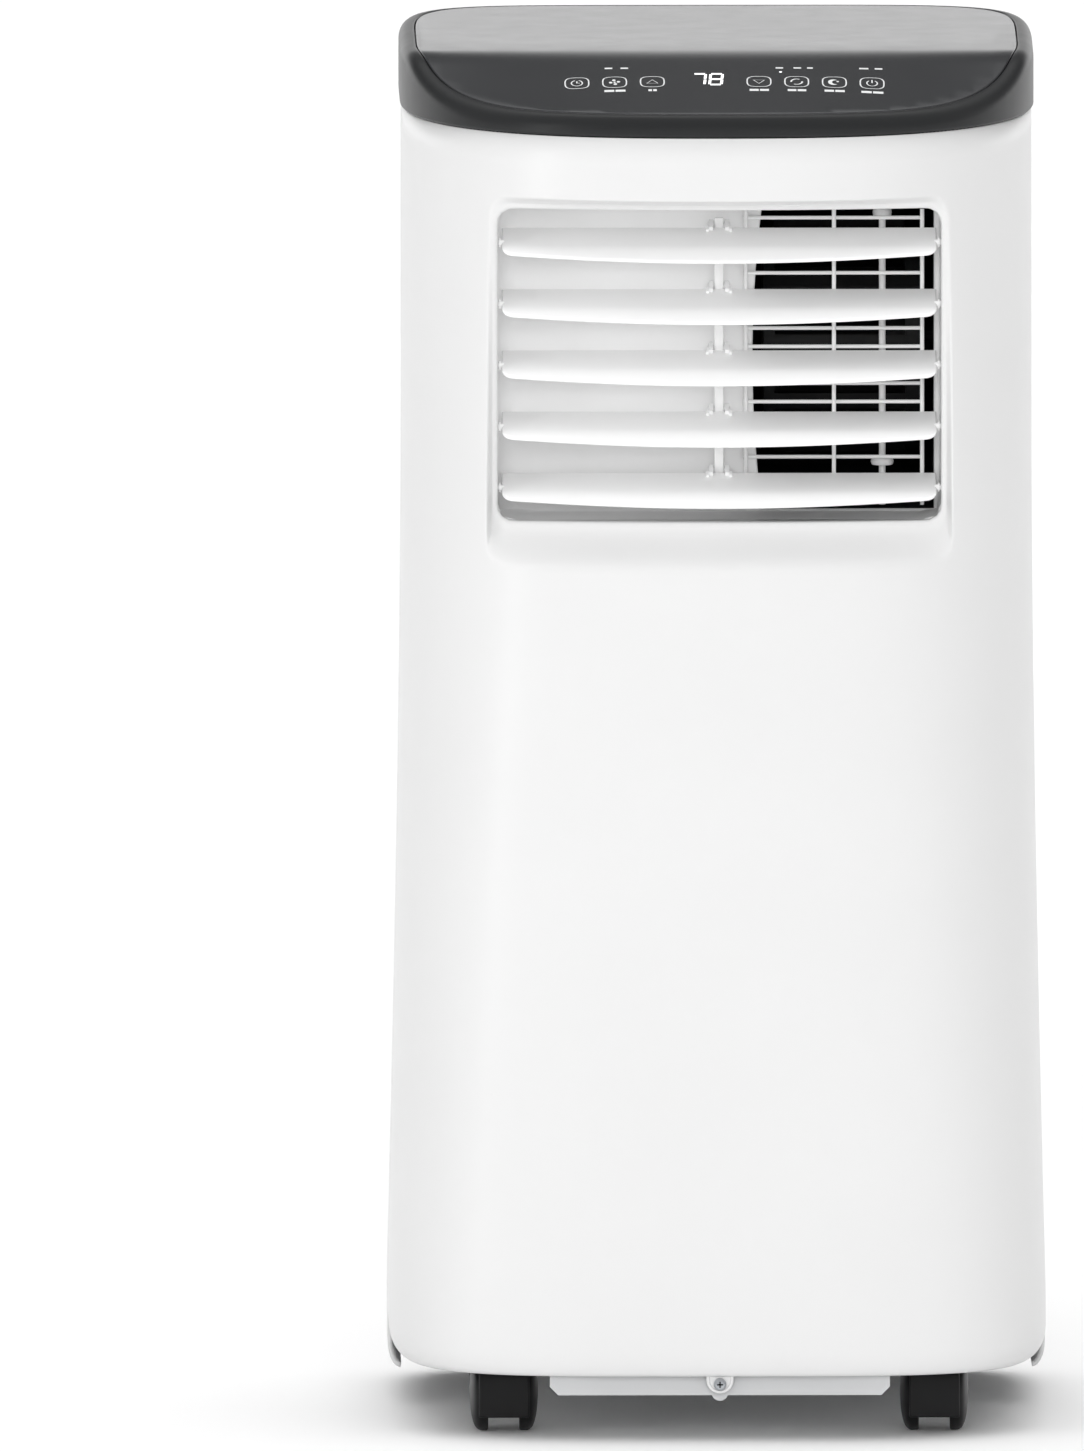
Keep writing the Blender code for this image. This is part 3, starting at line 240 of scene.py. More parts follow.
def metal(name, light, dark, roughness, spread, scale, bump_depth):
    """A plated or drawn metal: a mottled colour with gloss and height that follow the same patches."""
    material, tree, shader, place = blank(name, Metallic=1.0)
    stretched = add(tree, "ShaderNodeMapping", {"Vector": place, "Scale": scale})
    mottle = add(
        tree, "ShaderNodeTexNoise", {"Vector": stretched.outputs["Vector"], "Scale": 1.0, "Detail": 5.0}
    )
    tint = add(
        tree,
        "ShaderNodeMix",
        {"Factor": mottle.outputs["Fac"], "A": linear(dark), "B": linear(light)},
        data_type="RGBA",
    )
    tree.links.new(tint.outputs["Result"], shader.inputs["Base Color"])
    gloss = add(
        tree,
        "ShaderNodeMapRange",
        {"Value": mottle.outputs["Fac"], "To Min": roughness + spread, "To Max": roughness - spread},
    )
    tree.links.new(gloss.outputs["Result"], shader.inputs["Roughness"])
    bump = add(
        tree,
        "ShaderNodeBump",
        {"Height": mottle.outputs["Fac"], "Strength": 0.4, "Distance": bump_depth},
    )
    tree.links.new(bump.outputs["Normal"], shader.inputs["Normal"])
    return material


def finned_aluminium():
    """Coil block of pressed aluminium fins 1.8 mm apart: fine upright lines whose darker bands are painted
    shade in the gaps between the fins.
    """
    material, tree, shader, place = blank("finned_aluminium", Metallic=1.0, Roughness=0.42)
    fins = add(
        tree,
        "ShaderNodeTexWave",
        {"Vector": place, "Scale": math.tau / 20 / 0.0018, "Distortion": 0.0},
        bands_direction="X",
    )
    # The dark colour of the bands is painted shade between the fins.
    tint = add(
        tree,
        "ShaderNodeMix",
        {"Factor": fins.outputs["Fac"], "A": linear("4A4D50"), "B": linear("C9CDD0")},
        data_type="RGBA",
    )
    tree.links.new(tint.outputs["Result"], shader.inputs["Base Color"])
    bump = add(
        tree, "ShaderNodeBump", {"Height": fins.outputs["Fac"], "Strength": 0.8, "Distance": 0.0006}
    )
    tree.links.new(bump.outputs["Normal"], shader.inputs["Normal"])
    return material


def woven_nylon_mesh():
    """Filter net of black nylon thread, 1.4 mm from thread to thread: a fine dark square weave."""
    material, tree, shader, place = blank("woven_nylon_mesh", Roughness=0.6)
    pitch = math.tau / 20 / 0.0014
    lines = []
    for direction in ("X", "Z"):
        wave = add(
            tree,
            "ShaderNodeTexWave",
            {"Vector": place, "Scale": pitch, "Distortion": 0.0},
            bands_direction=direction,
        )
        lines.append(wave.outputs["Fac"])
    weave = add(tree, "ShaderNodeMath", {0: lines[0], 1: lines[1]}, operation="MAXIMUM")
    tint = add(
        tree,
        "ShaderNodeMix",
        {"Factor": weave.outputs["Value"], "A": linear("101214"), "B": linear("4C5054")},
        data_type="RGBA",
    )
    tree.links.new(tint.outputs["Result"], shader.inputs["Base Color"])
    bump = add(
        tree, "ShaderNodeBump", {"Height": weave.outputs["Value"], "Strength": 1.0, "Distance": 0.0004}
    )
    tree.links.new(bump.outputs["Normal"], shader.inputs["Normal"])
    return material


def solder_masked_board():
    """Circuit board under green solder mask: glossy green with the paler lines of its tracks."""
    material, tree, shader, place = blank("solder_masked_board", Roughness=0.3)
    tracks = add(
        tree,
        "ShaderNodeTexBrick",
        {
            "Vector": place,
            "Color1": linear("0F4A24"),
            "Color2": linear("155A2E"),
            "Mortar": linear("2E7A46"),
            "Scale": 60.0,
            "Mortar Size": 0.04,
        },
    )
    tree.links.new(tracks.outputs["Color"], shader.inputs["Base Color"])
    return material


def screen_ink():
    """Screen-printed white ink: a flat, chalky white with slightly uneven cover."""
    material, tree, shader, place = blank("screen_ink", Roughness=0.55)
    cover = add(tree, "ShaderNodeTexNoise", {"Vector": place, "Scale": 1 / 0.0015, "Detail": 2.0})
    tint = add(
        tree,
        "ShaderNodeMix",
        {"Factor": cover.outputs["Fac"], "A": linear("D9DBDC"), "B": linear("F4F5F5")},
        data_type="RGBA",
    )
    tree.links.new(tint.outputs["Result"], shader.inputs["Base Color"])
    return material


def lit_segments():
    """Display segments of light-emitting diodes behind the panel: an even white glow."""
    material, tree, shader, place = blank("lit_segments", Roughness=0.4)
    shader.inputs["Base Color"].default_value = linear("F2F4F5")
    shader.inputs["Emission Color"].default_value = linear("FFFFFF")
    shader.inputs["Emission Strength"].default_value = 0.75
    glow = add(tree, "ShaderNodeTexNoise", {"Vector": place, "Scale": 1 / 0.004})
    gloss = add(
        tree, "ShaderNodeMapRange", {"Value": glow.outputs["Fac"], "To Min": 0.35, "To Max": 0.45}
    )
    tree.links.new(gloss.outputs["Result"], shader.inputs["Roughness"])
    return material


def studio_paper():
    """Seamless white paper: matt, with a faint mottle."""
    material, tree, shader, place = blank("studio_paper", Roughness=0.9)
    mottle = add(tree, "ShaderNodeTexNoise", {"Vector": place, "Scale": 1.5})
    tint = add(
        tree,
        "ShaderNodeMix",
        {"Factor": mottle.outputs["Fac"], "A": linear("F6F6F6"), "B": linear("FAFAFA")},
        data_type="RGBA",
    )
    tree.links.new(tint.outputs["Result"], shader.inputs["Base Color"])
    return material


def make_materials():
    """Every finish on the machine, by a short name."""
    return {
        # Injection-moulded white ABS: a satin skin with soft, wide highlights
        "white_abs": plastic("moulded_white_abs", "DDDDDD", "DADADA", 0.30, 0.04, 0.6, 0.00002),
        # The louvres' ABS is the same but a touch glossier, straight from a polished mould; its lighter base
        # colour is painted light that lifts the blades and the link out of the bay's shade
        "lightened_louvre_abs": plastic("polished_white_abs_painted_light", "F8F8F8", "F4F4F4", 0.24, 0.04, 0.6, 0.00001),
        # Charcoal ABS of the cap: dark grey, with a sheen that washes it out at a low angle
        "charcoal_abs": plastic("moulded_charcoal_abs", "333436", "303133", 0.26, 0.02, 0.5, 0.000003),
        # The cap's rim has the same charcoal from a coarser mould, so it mirrors less; its darker base colour
        # is painted shade of the rim's upright sides
        "shaded_rim_abs": plastic(
            "textured_charcoal_abs_painted_shade", "232425", "202122", 0.36, 0.03, 0.7, 0.00003, Specular_IOR_Level=0.3
        ),
        # Pale grey ABS of the duct and the guarded post: duller, from a blasted mould
        "grey_abs": plastic("blasted_grey_abs", "EDEDED", "E8E8E8", 0.48, 0.05, 0.8, 0.00004),
        # Mid-grey ABS of the pan, the deck and the strip under the front: plain and dull
        "pan_abs": plastic("plain_grey_abs", "C9CACB", "C2C3C4", 0.50, 0.05, 0.8, 0.00004),
        # Black ABS of the scrolls and the fan wheels: matt, nearly no highlight
        "black_abs": plastic("matt_black_abs", "1C1D1E", "151617", 0.60, 0.06, 0.9, 0.00005),
        # Glass-filled nylon of the casters: deep black with a satin, faintly mottled shine
        "nylon": plastic(
            "filled_black_nylon", "0C0C0D", "08080A", 0.42, 0.06, 0.7, 0.00004, Specular_IOR_Level=0.3
        ),
        # Moulded rubber of the feet and the plug: matt black with a dusty bloom
        "rubber": plastic("moulded_rubber", "242424", "191919", 0.82, 0.06, 0.5, 0.00004),
        # Baked enamel of the compressor: thick glossy black with orange peel
        "enamel": plastic("baked_black_enamel", "131314", "0C0C0D", 0.22, 0.04, 3.0, 0.00012),
        # Plastic-coated wire of the guard: bright white, rounded and glossy
        "coated_wire": plastic("plastic_coated_wire", "F4F4F4", "E8E8E8", 0.30, 0.05, 0.9, 0.00003),
        # Zinc-plated steel: pale, slightly blue, with a spangled gloss
        "zinc": metal("zinc_plated_steel", "CFD2D6", "A9ADB2", 0.32, 0.10, (220, 220, 220), 0.00003),
        # Drawn aluminium of the capacitor's can: bright, brushed round its length
        "aluminium": metal("drawn_aluminium", "D8DADC", "B7BABD", 0.30, 0.08, (60, 60, 900), 0.00003),
        # Copper tube: warm, darkened in patches by handling
        "copper": metal("drawn_copper", "D98A62", "A65C3C", 0.30, 0.10, (120, 120, 120), 0.00002),
        "fins": finned_aluminium(),
        "net": woven_nylon_mesh(),
        "board": solder_masked_board(),
        "ink": screen_ink(),
        "lit": lit_segments(),
    }


MATERIALS = make_materials()


# --- making pieces -------------------------------------------------------------------------


def finish_piece(name, edit, material, body="chassis", nodes=(), sharp=30.0):
    """Turns an edited mesh into a shaded piece that rides on a body and may stand for CAD nodes."""
    bmesh.ops.recalc_face_normals(edit, faces=edit.faces)
    mesh = bpy.data.meshes.new(name)
    edit.to_mesh(mesh)
    edit.free()
    mesh.materials.append(MATERIALS[material])
    mesh.shade_smooth()
    mesh.set_sharp_from_angle(angle=math.radians(sharp))
    made = bpy.data.objects.new(name, mesh)
    bpy.context.scene.collection.objects.link(made)
    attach(made, body)
    if nodes:
        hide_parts(*nodes)
    return made


def thicken(piece, wall):
    """A live wall behind the visible skin."""
    modifier = piece.modifiers.new("wall", "SOLIDIFY")
    modifier.thickness = wall
    modifier.offset = -1.0


def soften(piece, width, segments=2, angle=40.0):
    """Rounds the piece's sharp edges."""
    modifier = piece.modifiers.new("soft_edges", "BEVEL")
    modifier.width = width
    modifier.segments = segments
    modifier.limit_method = "ANGLE"
    modifier.angle_limit = math.radians(angle)


def turned_to(axis):
    """The rotation that takes +Z to this axis."""
    return Z.rotation_difference(axis).to_matrix().to_4x4()


def add_box(edit, low, high):
    size = Vector(high) - Vector(low)
    place = Matrix.Translation((Vector(high) + Vector(low)) / 2)
    return bmesh.ops.create_cube(edit, size=1.0, matrix=place @ Matrix.Diagonal((*size, 1.0)))["verts"]


def add_rod(edit, start, axis, length, radius, sides=16):
    place = Matrix.Translation(Vector(start) + axis * length / 2) @ turned_to(axis)
    bmesh.ops.create_cone(
        edit, cap_ends=True, segments=sides, radius1=radius, radius2=radius, depth=length, matrix=place
    )


def add_turned(edit, profile, start, axis, sides=48, ring=False):
    """Spins a profile of (radius, distance along the axis) round an axis from a start point."""
    points = [edit.verts.new((radius, 0.0, along)) for radius, along in profile]
    ends = points[1:] + points[:1] if ring else points[1:]
    edges = [edit.edges.new(pair) for pair in zip(points, ends)]
    before = set(edit.verts) - set(points)
    bmesh.ops.spin(
        edit, geom=points + edges, cent=(0, 0, 0), axis=(0, 0, 1), angle=math.tau, steps=sides, use_merge=True
    )
    made = [point for point in edit.verts if point not in before]
    bmesh.ops.transform(edit, matrix=Matrix.Translation(start) @ turned_to(axis), verts=made)
    bmesh.ops.remove_doubles(edit, verts=made, dist=1e-6)


def grow(edit, edges, place):
    """Extrudes open edges. Each new point goes to place(the point it grew from). Returns the new edges."""
    old = {point for edge in edges for point in edge.verts}
    made = bmesh.ops.extrude_edge_only(edit, edges=edges)["geom"]
    fresh = [part for part in made if isinstance(part, bmesh.types.BMVert)]
    origin = {}
    for point in fresh:
        for edge in point.link_edges:
            other = edge.other_vert(point)
            if other in old:
                origin[point] = other
    for point in fresh:
        point.co = place(origin[point], point)
    return [part for part in made if isinstance(part, bmesh.types.BMEdge)]


def skin(loops, fill_first=False, fill_last=False):
    """A mesh that runs through closed loops of as many points each."""
    edit = bmesh.new()
    bmesh.ops.create_circle(edit, segments=len(loops[0]), radius=1.0)
    edit.verts.ensure_lookup_table()
    number = dict(zip(edit.verts, range(len(loops[0]))))
    for point, index in number.items():
        point.co = loops[0][index]
    edges = list(edit.edges)
    if fill_first:
        bmesh.ops.edgeloop_fill(edit, edges=edges)
    for loop in loops[1:]:

        def place(old, new, loop=loop):
            number[new] = number[old]
            return loop[number[old]]

        edges = grow(edit, edges, place)
    if fill_last:
        bmesh.ops.edgeloop_fill(edit, edges=edges)
    return edit


def slice_mesh(edit, normal, places):
    """Cuts every face along planes at these distances along an axis."""
    for distance in places:
        geometry = edit.verts[:] + edit.edges[:] + edit.faces[:]
        bmesh.ops.bisect_plane(edit, geom=geometry, dist=1e-7, plane_co=normal * distance, plane_no=normal)


def spread(low, high, step, wanted=()):
    """Places from low to high about a step apart, that include the wanted ones."""
    anchors = sorted({low, high, *wanted})
    places = []
    for start, end in zip(anchors, anchors[1:]):
        parts = max(1, round((end - start) / step))
        places += [start + (end - start) * part / parts for part in range(parts)]
    return places + [high]


# --- the body's outline --------------------------------------------------------------------


def half_width(z):
    fall = min(max((FLARE_START - z) / (FLARE_START - FLARE_END), 0.0), 1.0)
    return TOP_HALF_WIDTH + FLARE * fall**1.6


def power(z, behind):
    if behind:
        return REAR_POWER
    rise = min(max((z - POWER_LOW_Z) / (CAP_BOTTOM - POWER_LOW_Z), 0.0), 1.0)
    return FRONT_POWER_LOW + (FRONT_POWER_TOP - FRONT_POWER_LOW) * rise


def outline_point(angle, z, inset_x=0.0, inset_y=0.0):
    """The point of the body's outline at one height, by its angle anticlockwise from +X."""
    across, along = math.cos(angle), math.sin(angle)
    share = 2.0 / power(z, along >= 0)
    x = (half_width(z) - inset_x) * math.copysign(abs(across) ** share, across)
    y = (HALF_DEPTH - inset_y) * math.copysign(abs(along) ** share, along)
    return Vector((x, y, z))


def outline(z, inset_x=0.0, inset_y=None, steps=288):
    inset_y = inset_x if inset_y is None else inset_y
    return [outline_point(math.tau * step / steps, z, inset_x, inset_y) for step in range(steps)]


def face_y(x, z, behind=False):
    """The Y of the front or the rear surface at a point of it."""
    exponent = power(z, behind)
    depth = HALF_DEPTH * (1.0 - (abs(x) / half_width(z)) ** exponent) ** (1.0 / exponent)
    return depth if behind else -depth


def angle_at_x(x, z, behind):
    angle = math.acos((abs(x) / half_width(z)) ** (power(z, behind) / 2))
    angle = angle if x >= 0 else math.pi - angle
    return angle if behind else -angle


def angle_at_y(y, z, side):
    angle = math.asin((abs(y) / HALF_DEPTH) ** (power(z, y > 0) / 2))
    angle = angle if side > 0 else math.pi - angle
    return angle if y > 0 else -angle


TURN_X = 0.125  # a casing's columns are level in X up to here, then go round its corner
TURN_STEPS = 16


def casing_columns(behind, across, along):
    """A casing's columns from its left edge round to its right one: each gives an angle at a height.

    across holds the X of the columns of its face, and along the Y of those of its sides, edge first.
    """
    columns = [lambda z, y=y: angle_at_y(y, z, -1) for y in along]
    turn_y = along[-1]

    def turn(share, side):
        def angle(z):
            start, end = angle_at_y(turn_y, z, side), angle_at_x(side * TURN_X, z, behind)
            return start + (end - start) * share

        return angle

    shares = [step / TURN_STEPS for step in range(1, TURN_STEPS)]
    columns += [turn(share, -1) for share in shares]
    columns += [lambda z, x=x: angle_at_x(x, z, behind) for x in across]
    columns += [turn(share, 1) for share in reversed(shares)]
    columns += [lambda z, y=y: angle_at_y(y, z, 1) for y in reversed(along)]
    return columns


def casing_rows(bottom, hem, heights):
    """(z, inset across, inset along) of each row, with a rounded hem below."""
    rows = []
    for step in range(8):
        angle = math.radians(90.0 * step / 8)
        share = 1.0 - math.sin(angle)
        rows.append((bottom + HEM_HEIGHT * (1.0 - math.cos(angle)), hem[0] * share, hem[1] * share))
    return rows + [(z, 0.0, 0.0) for z in heights]


def casing_grid(columns, rows):
    """A grid laid on the body, with the column and row of each point."""
    edit = bmesh.new()
    wide, tall = len(columns) - 1, len(rows) - 1
    bmesh.ops.create_grid(edit, x_segments=wide, y_segments=tall, size=1.0)
    spots = {}
    for point in edit.verts:
        column = round((point.co.x + 1.0) / 2.0 * wide)
        row = round((point.co.y + 1.0) / 2.0 * tall)
        spots[point] = (column, row)
        z, inset_x, inset_y = rows[row]
        point.co = outline_point(columns[column](z), z, inset_x, inset_y)
    return edit, spots


def on_rounded(u, v, left, right, low, high, radius):
    """The point of a rounded rectangle that matches (u, v) on the edge of the square from -1 to 1."""
    half_wide, half_high = (right - left) / 2, (high - low) / 2
    upright = abs(u) > abs(v)
    long, short = (half_high, half_wide) if upright else (half_wide, half_high)
    share = abs(v) if upright else abs(u)
    run = share * (long - radius + radius * math.pi / 4)
    past = run - (long - radius)
    first, second = run, short
    if past > 0 and radius > 0:
        turn = past / radius
        first = long - radius + radius * math.sin(turn)
        second = short - radius + radius * math.cos(turn)
    x, z = (second, first) if upright else (first, second)
    return (left + right) / 2 + math.copysign(x, u), (low + high) / 2 + math.copysign(z, v)


def open_window(edit, spots, columns, rows, places):
    """Takes out the grid's faces between two columns and two rows, and carries the hole's edge on.

    Each of places gives a point for (u, v), the hole's edge seen as a square from -1 to 1.
    """
    left, right = columns
    low, high = rows
    inside = []
    for face in edit.faces:
        if all(point in spots for point in face.verts):
            middle = [sum(spots[point][axis] for point in face.verts) / len(face.verts) for axis in (0, 1)]
            if left < middle[0] < right and low < middle[1] < high:
                inside.append(face)
    gone = set(inside)
    rim = {edge for face in inside for edge in face.edges if not gone.issuperset(edge.link_faces)}
    shares = {}
    for edge in rim:
        for point in edge.verts:
            column, row = spots[point]
            u = 2.0 * (column - left) / (right - left) - 1.0
            v = 2.0 * (row - low) / (high - low) - 1.0
            shares[point] = (u, v)
    bmesh.ops.delete(edit, geom=inside, context="FACES")
    edges = list(rim)
    for place in places:

        def put(old, new, place=place):
            shares[new] = shares[old]
            return place(*shares[old])

        edges = grow(edit, edges, put)
    return edges


def nearest(values, wanted):
    return min(range(len(values)), key=lambda index: abs(values[index] - wanted))


# --- casings -------------------------------------------------------------------------------


def bay_ring(share, sink, outwards=0.0):
    """A ring of the bay between its rim (0) and the outlet's edge (1), sunk to a share of its depth."""

    def place(u, v):
        wide, low, high, radius = [a + (b - a) * share for a, b in zip(BAY, OUTLET_EDGE)]
        wide, low, high, radius = wide + outwards, low - outwards, high + outwards, radius + outwards
        x, z = on_rounded(u, v, -wide, wide, low, high, radius)
        surface = face_y(x, z)
        floor = BAY_FLOOR_Y + BAY_BOW * min(abs(x) / OUTLET[0], 1.0) ** 2
        return Vector((x, surface + (floor - surface) * sink, z))

    return place


def lip_ring(inset, behind, flat_share=0.0):
    """A ring of the outlet's rolled lip, or of the sleeve behind it that ends level at the duct."""

    def place(u, v):
        wide, low, high, radius = OUTLET_EDGE
        x, z = on_rounded(u, v, -wide + inset, wide - inset, low + inset, high - inset, radius - inset)
        floor = BAY_FLOOR_Y + BAY_BOW * min(abs(x) / OUTLET[0], 1.0) ** 2 + behind
        end = DUCT_FRONT_Y - GAP
        return Vector((x, floor + (end - floor) * flat_share, z))

    return place


def front_casing():
    """The front half of the body with its scooped bay and the rolled lip round the outlet."""
    margin = 0.005
    wide = BAY[0] + margin
    low, high = BAY[1] - margin, BAY[2] + margin
    across = spread(-TURN_X, TURN_X, 0.0045, (-wide, wide))
    along = spread(-SPLIT_Y, 0.060, 0.010)
    columns = casing_columns(False, across, [-y for y in along])
    heights = spread(FRONT_BOTTOM + HEM_HEIGHT, CAP_BOTTOM - GAP, 0.010, (low, high))
    heights = [z for z in heights if not low < z < high] + spread(low, high, 0.0045)[1:-1]
    rows = casing_rows(FRONT_BOTTOM, FRONT_HEM, sorted(heights))
    edit, spots = casing_grid(columns, rows)
    first = len(along) + TURN_STEPS - 1
    sides = (first + nearest(across, -wide), first + nearest(across, wide))
    ends = (nearest([row[0] for row in rows], low), nearest([row[0] for row in rows], high))
    places = [bay_ring(0.0, 0.0, outwards) for outwards in (0.0034, 0.0016, 0.0)]
    for step in range(1, 13):
        share = step / 12
        places.append(bay_ring(share, share * share * (3.0 - 2.0 * share)))
    for step in range(1, 6):
        angle = math.radians(90.0 * step / 5)
        places.append(lip_ring(LIP * math.sin(angle), LIP * (1.0 - math.cos(angle))))
    places += [lip_ring(LIP, LIP, share) for share in (0.3, 1.0)]
    open_window(edit, spots, sides, ends, places)
    piece = finish_piece("front_shell", edit, "white_abs", nodes=("front_casing",))
    thicken(piece, SKIN)


def front_tab():
    """The screw's tab under the front casing: a flat tongue with a raised rim and a dished seat."""
    half, low = 0.0064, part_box("front_casing")[0].z
    front = -HALF_DEPTH + 0.004
    middle = low + half
    loops = []
    for inset, y in ((0.0, 0.0025), (0.0, 0.0004), (0.0004, 0.0), (0.0012, 0.0), (0.0016, 0.0006)):
        loop = []
        reach = half - inset
        for step in range(25):
            angle = math.pi + math.pi * step / 24
            loop.append(Vector((reach * math.cos(angle), front + y, middle + reach * math.sin(angle))))
        loop += [Vector((x, front + y, FRONT_BOTTOM + 0.002)) for x in (reach, -reach)]
        loops.append(loop)
    finish_piece("front_tab", skin(loops, fill_last=True), "white_abs")


def vent_edge(x0, x1, z0, z1, radius, inset, behind):
    """A ring of a hole in the rear: a rounded rectangle on the surface, set in and pushed inside."""

    def place(u, v):
        x, z = on_rounded(u, v, x0 + inset, x1 - inset, z0 + inset, z1 - inset, max(radius - inset, 0.0))
        return Vector((x, face_y(x, z, True) - behind, z))

    return place


def grip_ring(side, inset, depth_share):
    """A ring of a hand grip: a rounded rectangle on the side, sunk towards its floor."""

    def place(u, v):
        y0, y1 = GRIP_Y[0] + inset, GRIP_Y[1] - inset
        y, z = on_rounded(u, v, y0, y1, GRIP_Z[0] + inset, GRIP_Z[1] - inset, 0.010 - inset * 0.6)
        surface = abs(outline_point(angle_at_y(y, z, side), z).x)
        return Vector((side * (surface + (GRIP_DEPTH_X - surface) * depth_share), y, z))

    return place


def rear_casing():
    """The rear half of the body, with its vents, hand grips and the holes for hose, drain and cord."""
    cord, drain = CORD_RADIUS + 0.004, DRAIN_RADIUS + 0.004
    pad = COLLAR_RADIUS + 0.006
    vent = VENT_HALF_WIDTH + 0.003
    wanted_x = [-vent, vent, EXHAUST[0] - pad, EXHAUST[0] + pad, CORD[0] - cord, CORD[0] + cord]
    wanted_x += [DRAIN[0] - drain, DRAIN[0] + drain]
    across = spread(-TURN_X, TURN_X, 0.004, wanted_x)
    grip_y = (GRIP_Y[0] - 0.003, GRIP_Y[1] + 0.003)
    along = spread(SPLIT_Y + GAP, grip_y[1], 0.006, grip_y)
    columns = casing_columns(True, across, along)
    upper = (UPPER_VENT[0] - 0.003, UPPER_VENT[1] + 0.003)
    lower = (LOWER_VENT[0] - 0.0008, LOWER_VENT[1] + 0.003)
    drain_z = (DRAIN[1] - drain, DRAIN[1] + DRAIN_RADIUS + 0.0012)
    wanted_z = [*upper, *lower, EXHAUST[1] - pad, EXHAUST[1] + pad, CORD[1] - cord, CORD[1] + cord]
    wanted_z += [*drain_z, GRIP_Z[0] - 0.003, GRIP_Z[1] + 0.003]
    start = REAR_BOTTOM + HEM_HEIGHT
    rows = casing_rows(REAR_BOTTOM, REAR_HEM, spread(start, CAP_BOTTOM - GAP, 0.006, wanted_z))
    edit, spots = casing_grid(columns, rows)
    levels = [row[0] for row in rows]
    first = len(along) + TURN_STEPS - 1

    def hole(x0, x1, z0, z1, places):
        sides = (first + nearest(across, x0), first + nearest(across, x1))
        open_window(edit, spots, sides, (nearest(levels, z0), nearest(levels, z1)), places)

    for low, high, (outer_low, outer_high) in ((*UPPER_VENT, upper), (*LOWER_VENT, lower)):
        corners = (-VENT_HALF_WIDTH, VENT_HALF_WIDTH, low, high, 0.004)
        places = [vent_edge(*corners, inset, behind) for inset, behind in ((-0.0006, 0.0), (0.0, 0.0006))]
        places += [vent_edge(*corners, 0.0, 0.0040), vent_edge(*corners, 0.004, 0.0042)]
        hole(-vent, vent, outer_low, outer_high, places)
    for (x, z), radius, reach, (z0, z1) in (
        (EXHAUST, COLLAR_RADIUS + 0.0006, pad, (EXHAUST[1] - pad, EXHAUST[1] + pad)),
        (CORD, CORD_RADIUS + 0.0004, cord, (CORD[1] - cord, CORD[1] + cord)),
        (DRAIN, DRAIN_RADIUS + 0.0006, drain, drain_z),
    ):
        corners = (x - radius, x + radius, z - radius, z + radius, radius)
        places = [vent_edge(*corners, inset, behind) for inset, behind in ((-0.0006, 0.0), (0.0, 0.0006))]
        places += [vent_edge(*corners, 0.0, 0.006)]
        hole(x - reach, x + reach, z0, z1, places)
    for side in (-1, 1):
        spot = [index for index, y in enumerate(along) if y in grip_y]
        sides = spot if side < 0 else [len(columns) - 1 - index for index in reversed(spot)]
        ends = (nearest(levels, GRIP_Z[0] - 0.003), nearest(levels, GRIP_Z[1] + 0.003))
        turn = -1 if side > 0 else 1
        places = [
            lambda u, v, ring=ring, turn=turn: ring(u * turn, v)
            for ring in [grip_ring(side, inset, share) for inset, share in GRIP_RINGS]
        ]
        edges = open_window(edit, spots, sides, ends, places)
        bmesh.ops.edgeloop_fill(edit, edges=edges)
    piece = finish_piece("rear_shell", edit, "white_abs", nodes=("rear_casing",))
    thicken(piece, SKIN)


def vent_cover(name, node, body, vent, gap):
    """A slotted cover set into a vent of the rear."""
    low, high = vent
    edge = VENT_HALF_WIDTH - gap
    slot_end = VENT_HALF_WIDTH - VENT_MARGIN
    across = spread(-edge, edge, 0.009, (-slot_end, -0.004, 0.004, slot_end))
    pitch = (high - low - 2 * VENT_MARGIN) / VENT_ROWS
    slots = []
    for row in range(VENT_ROWS):
        base = low + VENT_MARGIN + pitch * row + VENT_BAR / 2
        slots.append((base, base + pitch - VENT_BAR))
    wanted = [z for slot in slots for z in slot]
    levels = spread(low + gap, high - gap, 0.006, wanted)
    edit = bmesh.new()
    wide, tall = len(across) - 1, len(levels) - 1
    bmesh.ops.create_grid(edit, x_segments=wide, y_segments=tall, size=1.0)
    for point in edit.verts:
        x = across[round((point.co.x + 1.0) / 2.0 * wide)]
        z = levels[round((point.co.y + 1.0) / 2.0 * tall)]
        point.co = (x, face_y(x, z, True) - 0.0006, z)
    gone = []
    for face in edit.faces:
        middle = face.calc_center_median()
        if 0.004 < abs(middle.x) < slot_end and any(base < middle.z < top for base, top in slots):
            gone.append(face)
    bmesh.ops.delete(edit, geom=gone, context="FACES")
    piece = finish_piece(name, edit, "white_abs", body, (node,))
    thicken(piece, 0.0024)
    soften(piece, 0.0006, 2)


# --- the cap -------------------------------------------------------------------------------


def crease_drop(x, y):
    """How far the top falls towards the front, with a rounded crease and shoulders that fall more."""
    ahead = CREASE_Y - y
    slope = PANEL_SLOPE * (1.0 + SHOULDER_FALL * (abs(x) / TOP_HALF_WIDTH) ** 3)
    if ahead <= -CREASE_HALF_SPAN:
        return 0.0
    if ahead >= CREASE_HALF_SPAN:
        return slope * ahead
    return slope * (ahead + CREASE_HALF_SPAN) ** 2 / (4 * CREASE_HALF_SPAN)


def slope_top(edit):
    """Lets everything above the cap's lower edge fall along the crease."""
    slice_mesh(edit, Y, [CREASE_Y + CREASE_HALF_SPAN * step / 5 for step in range(-7, 8)])
    slice_mesh(edit, Y, [-0.010 * step for step in range(8, 16)])
    slice_mesh(edit, X, [0.010 * step for step in range(-14, 15)])
    for point in edit.verts:
        if point.co.z > CAP_BOTTOM + 0.0020:
            point.co.z -= crease_drop(point.co.x, point.co.y)


def cap_outline(z, inset):
    return [Vector((point.x, point.y, z)) for point in outline(CAP_BOTTOM, inset - CAP_OVERHANG, inset)]


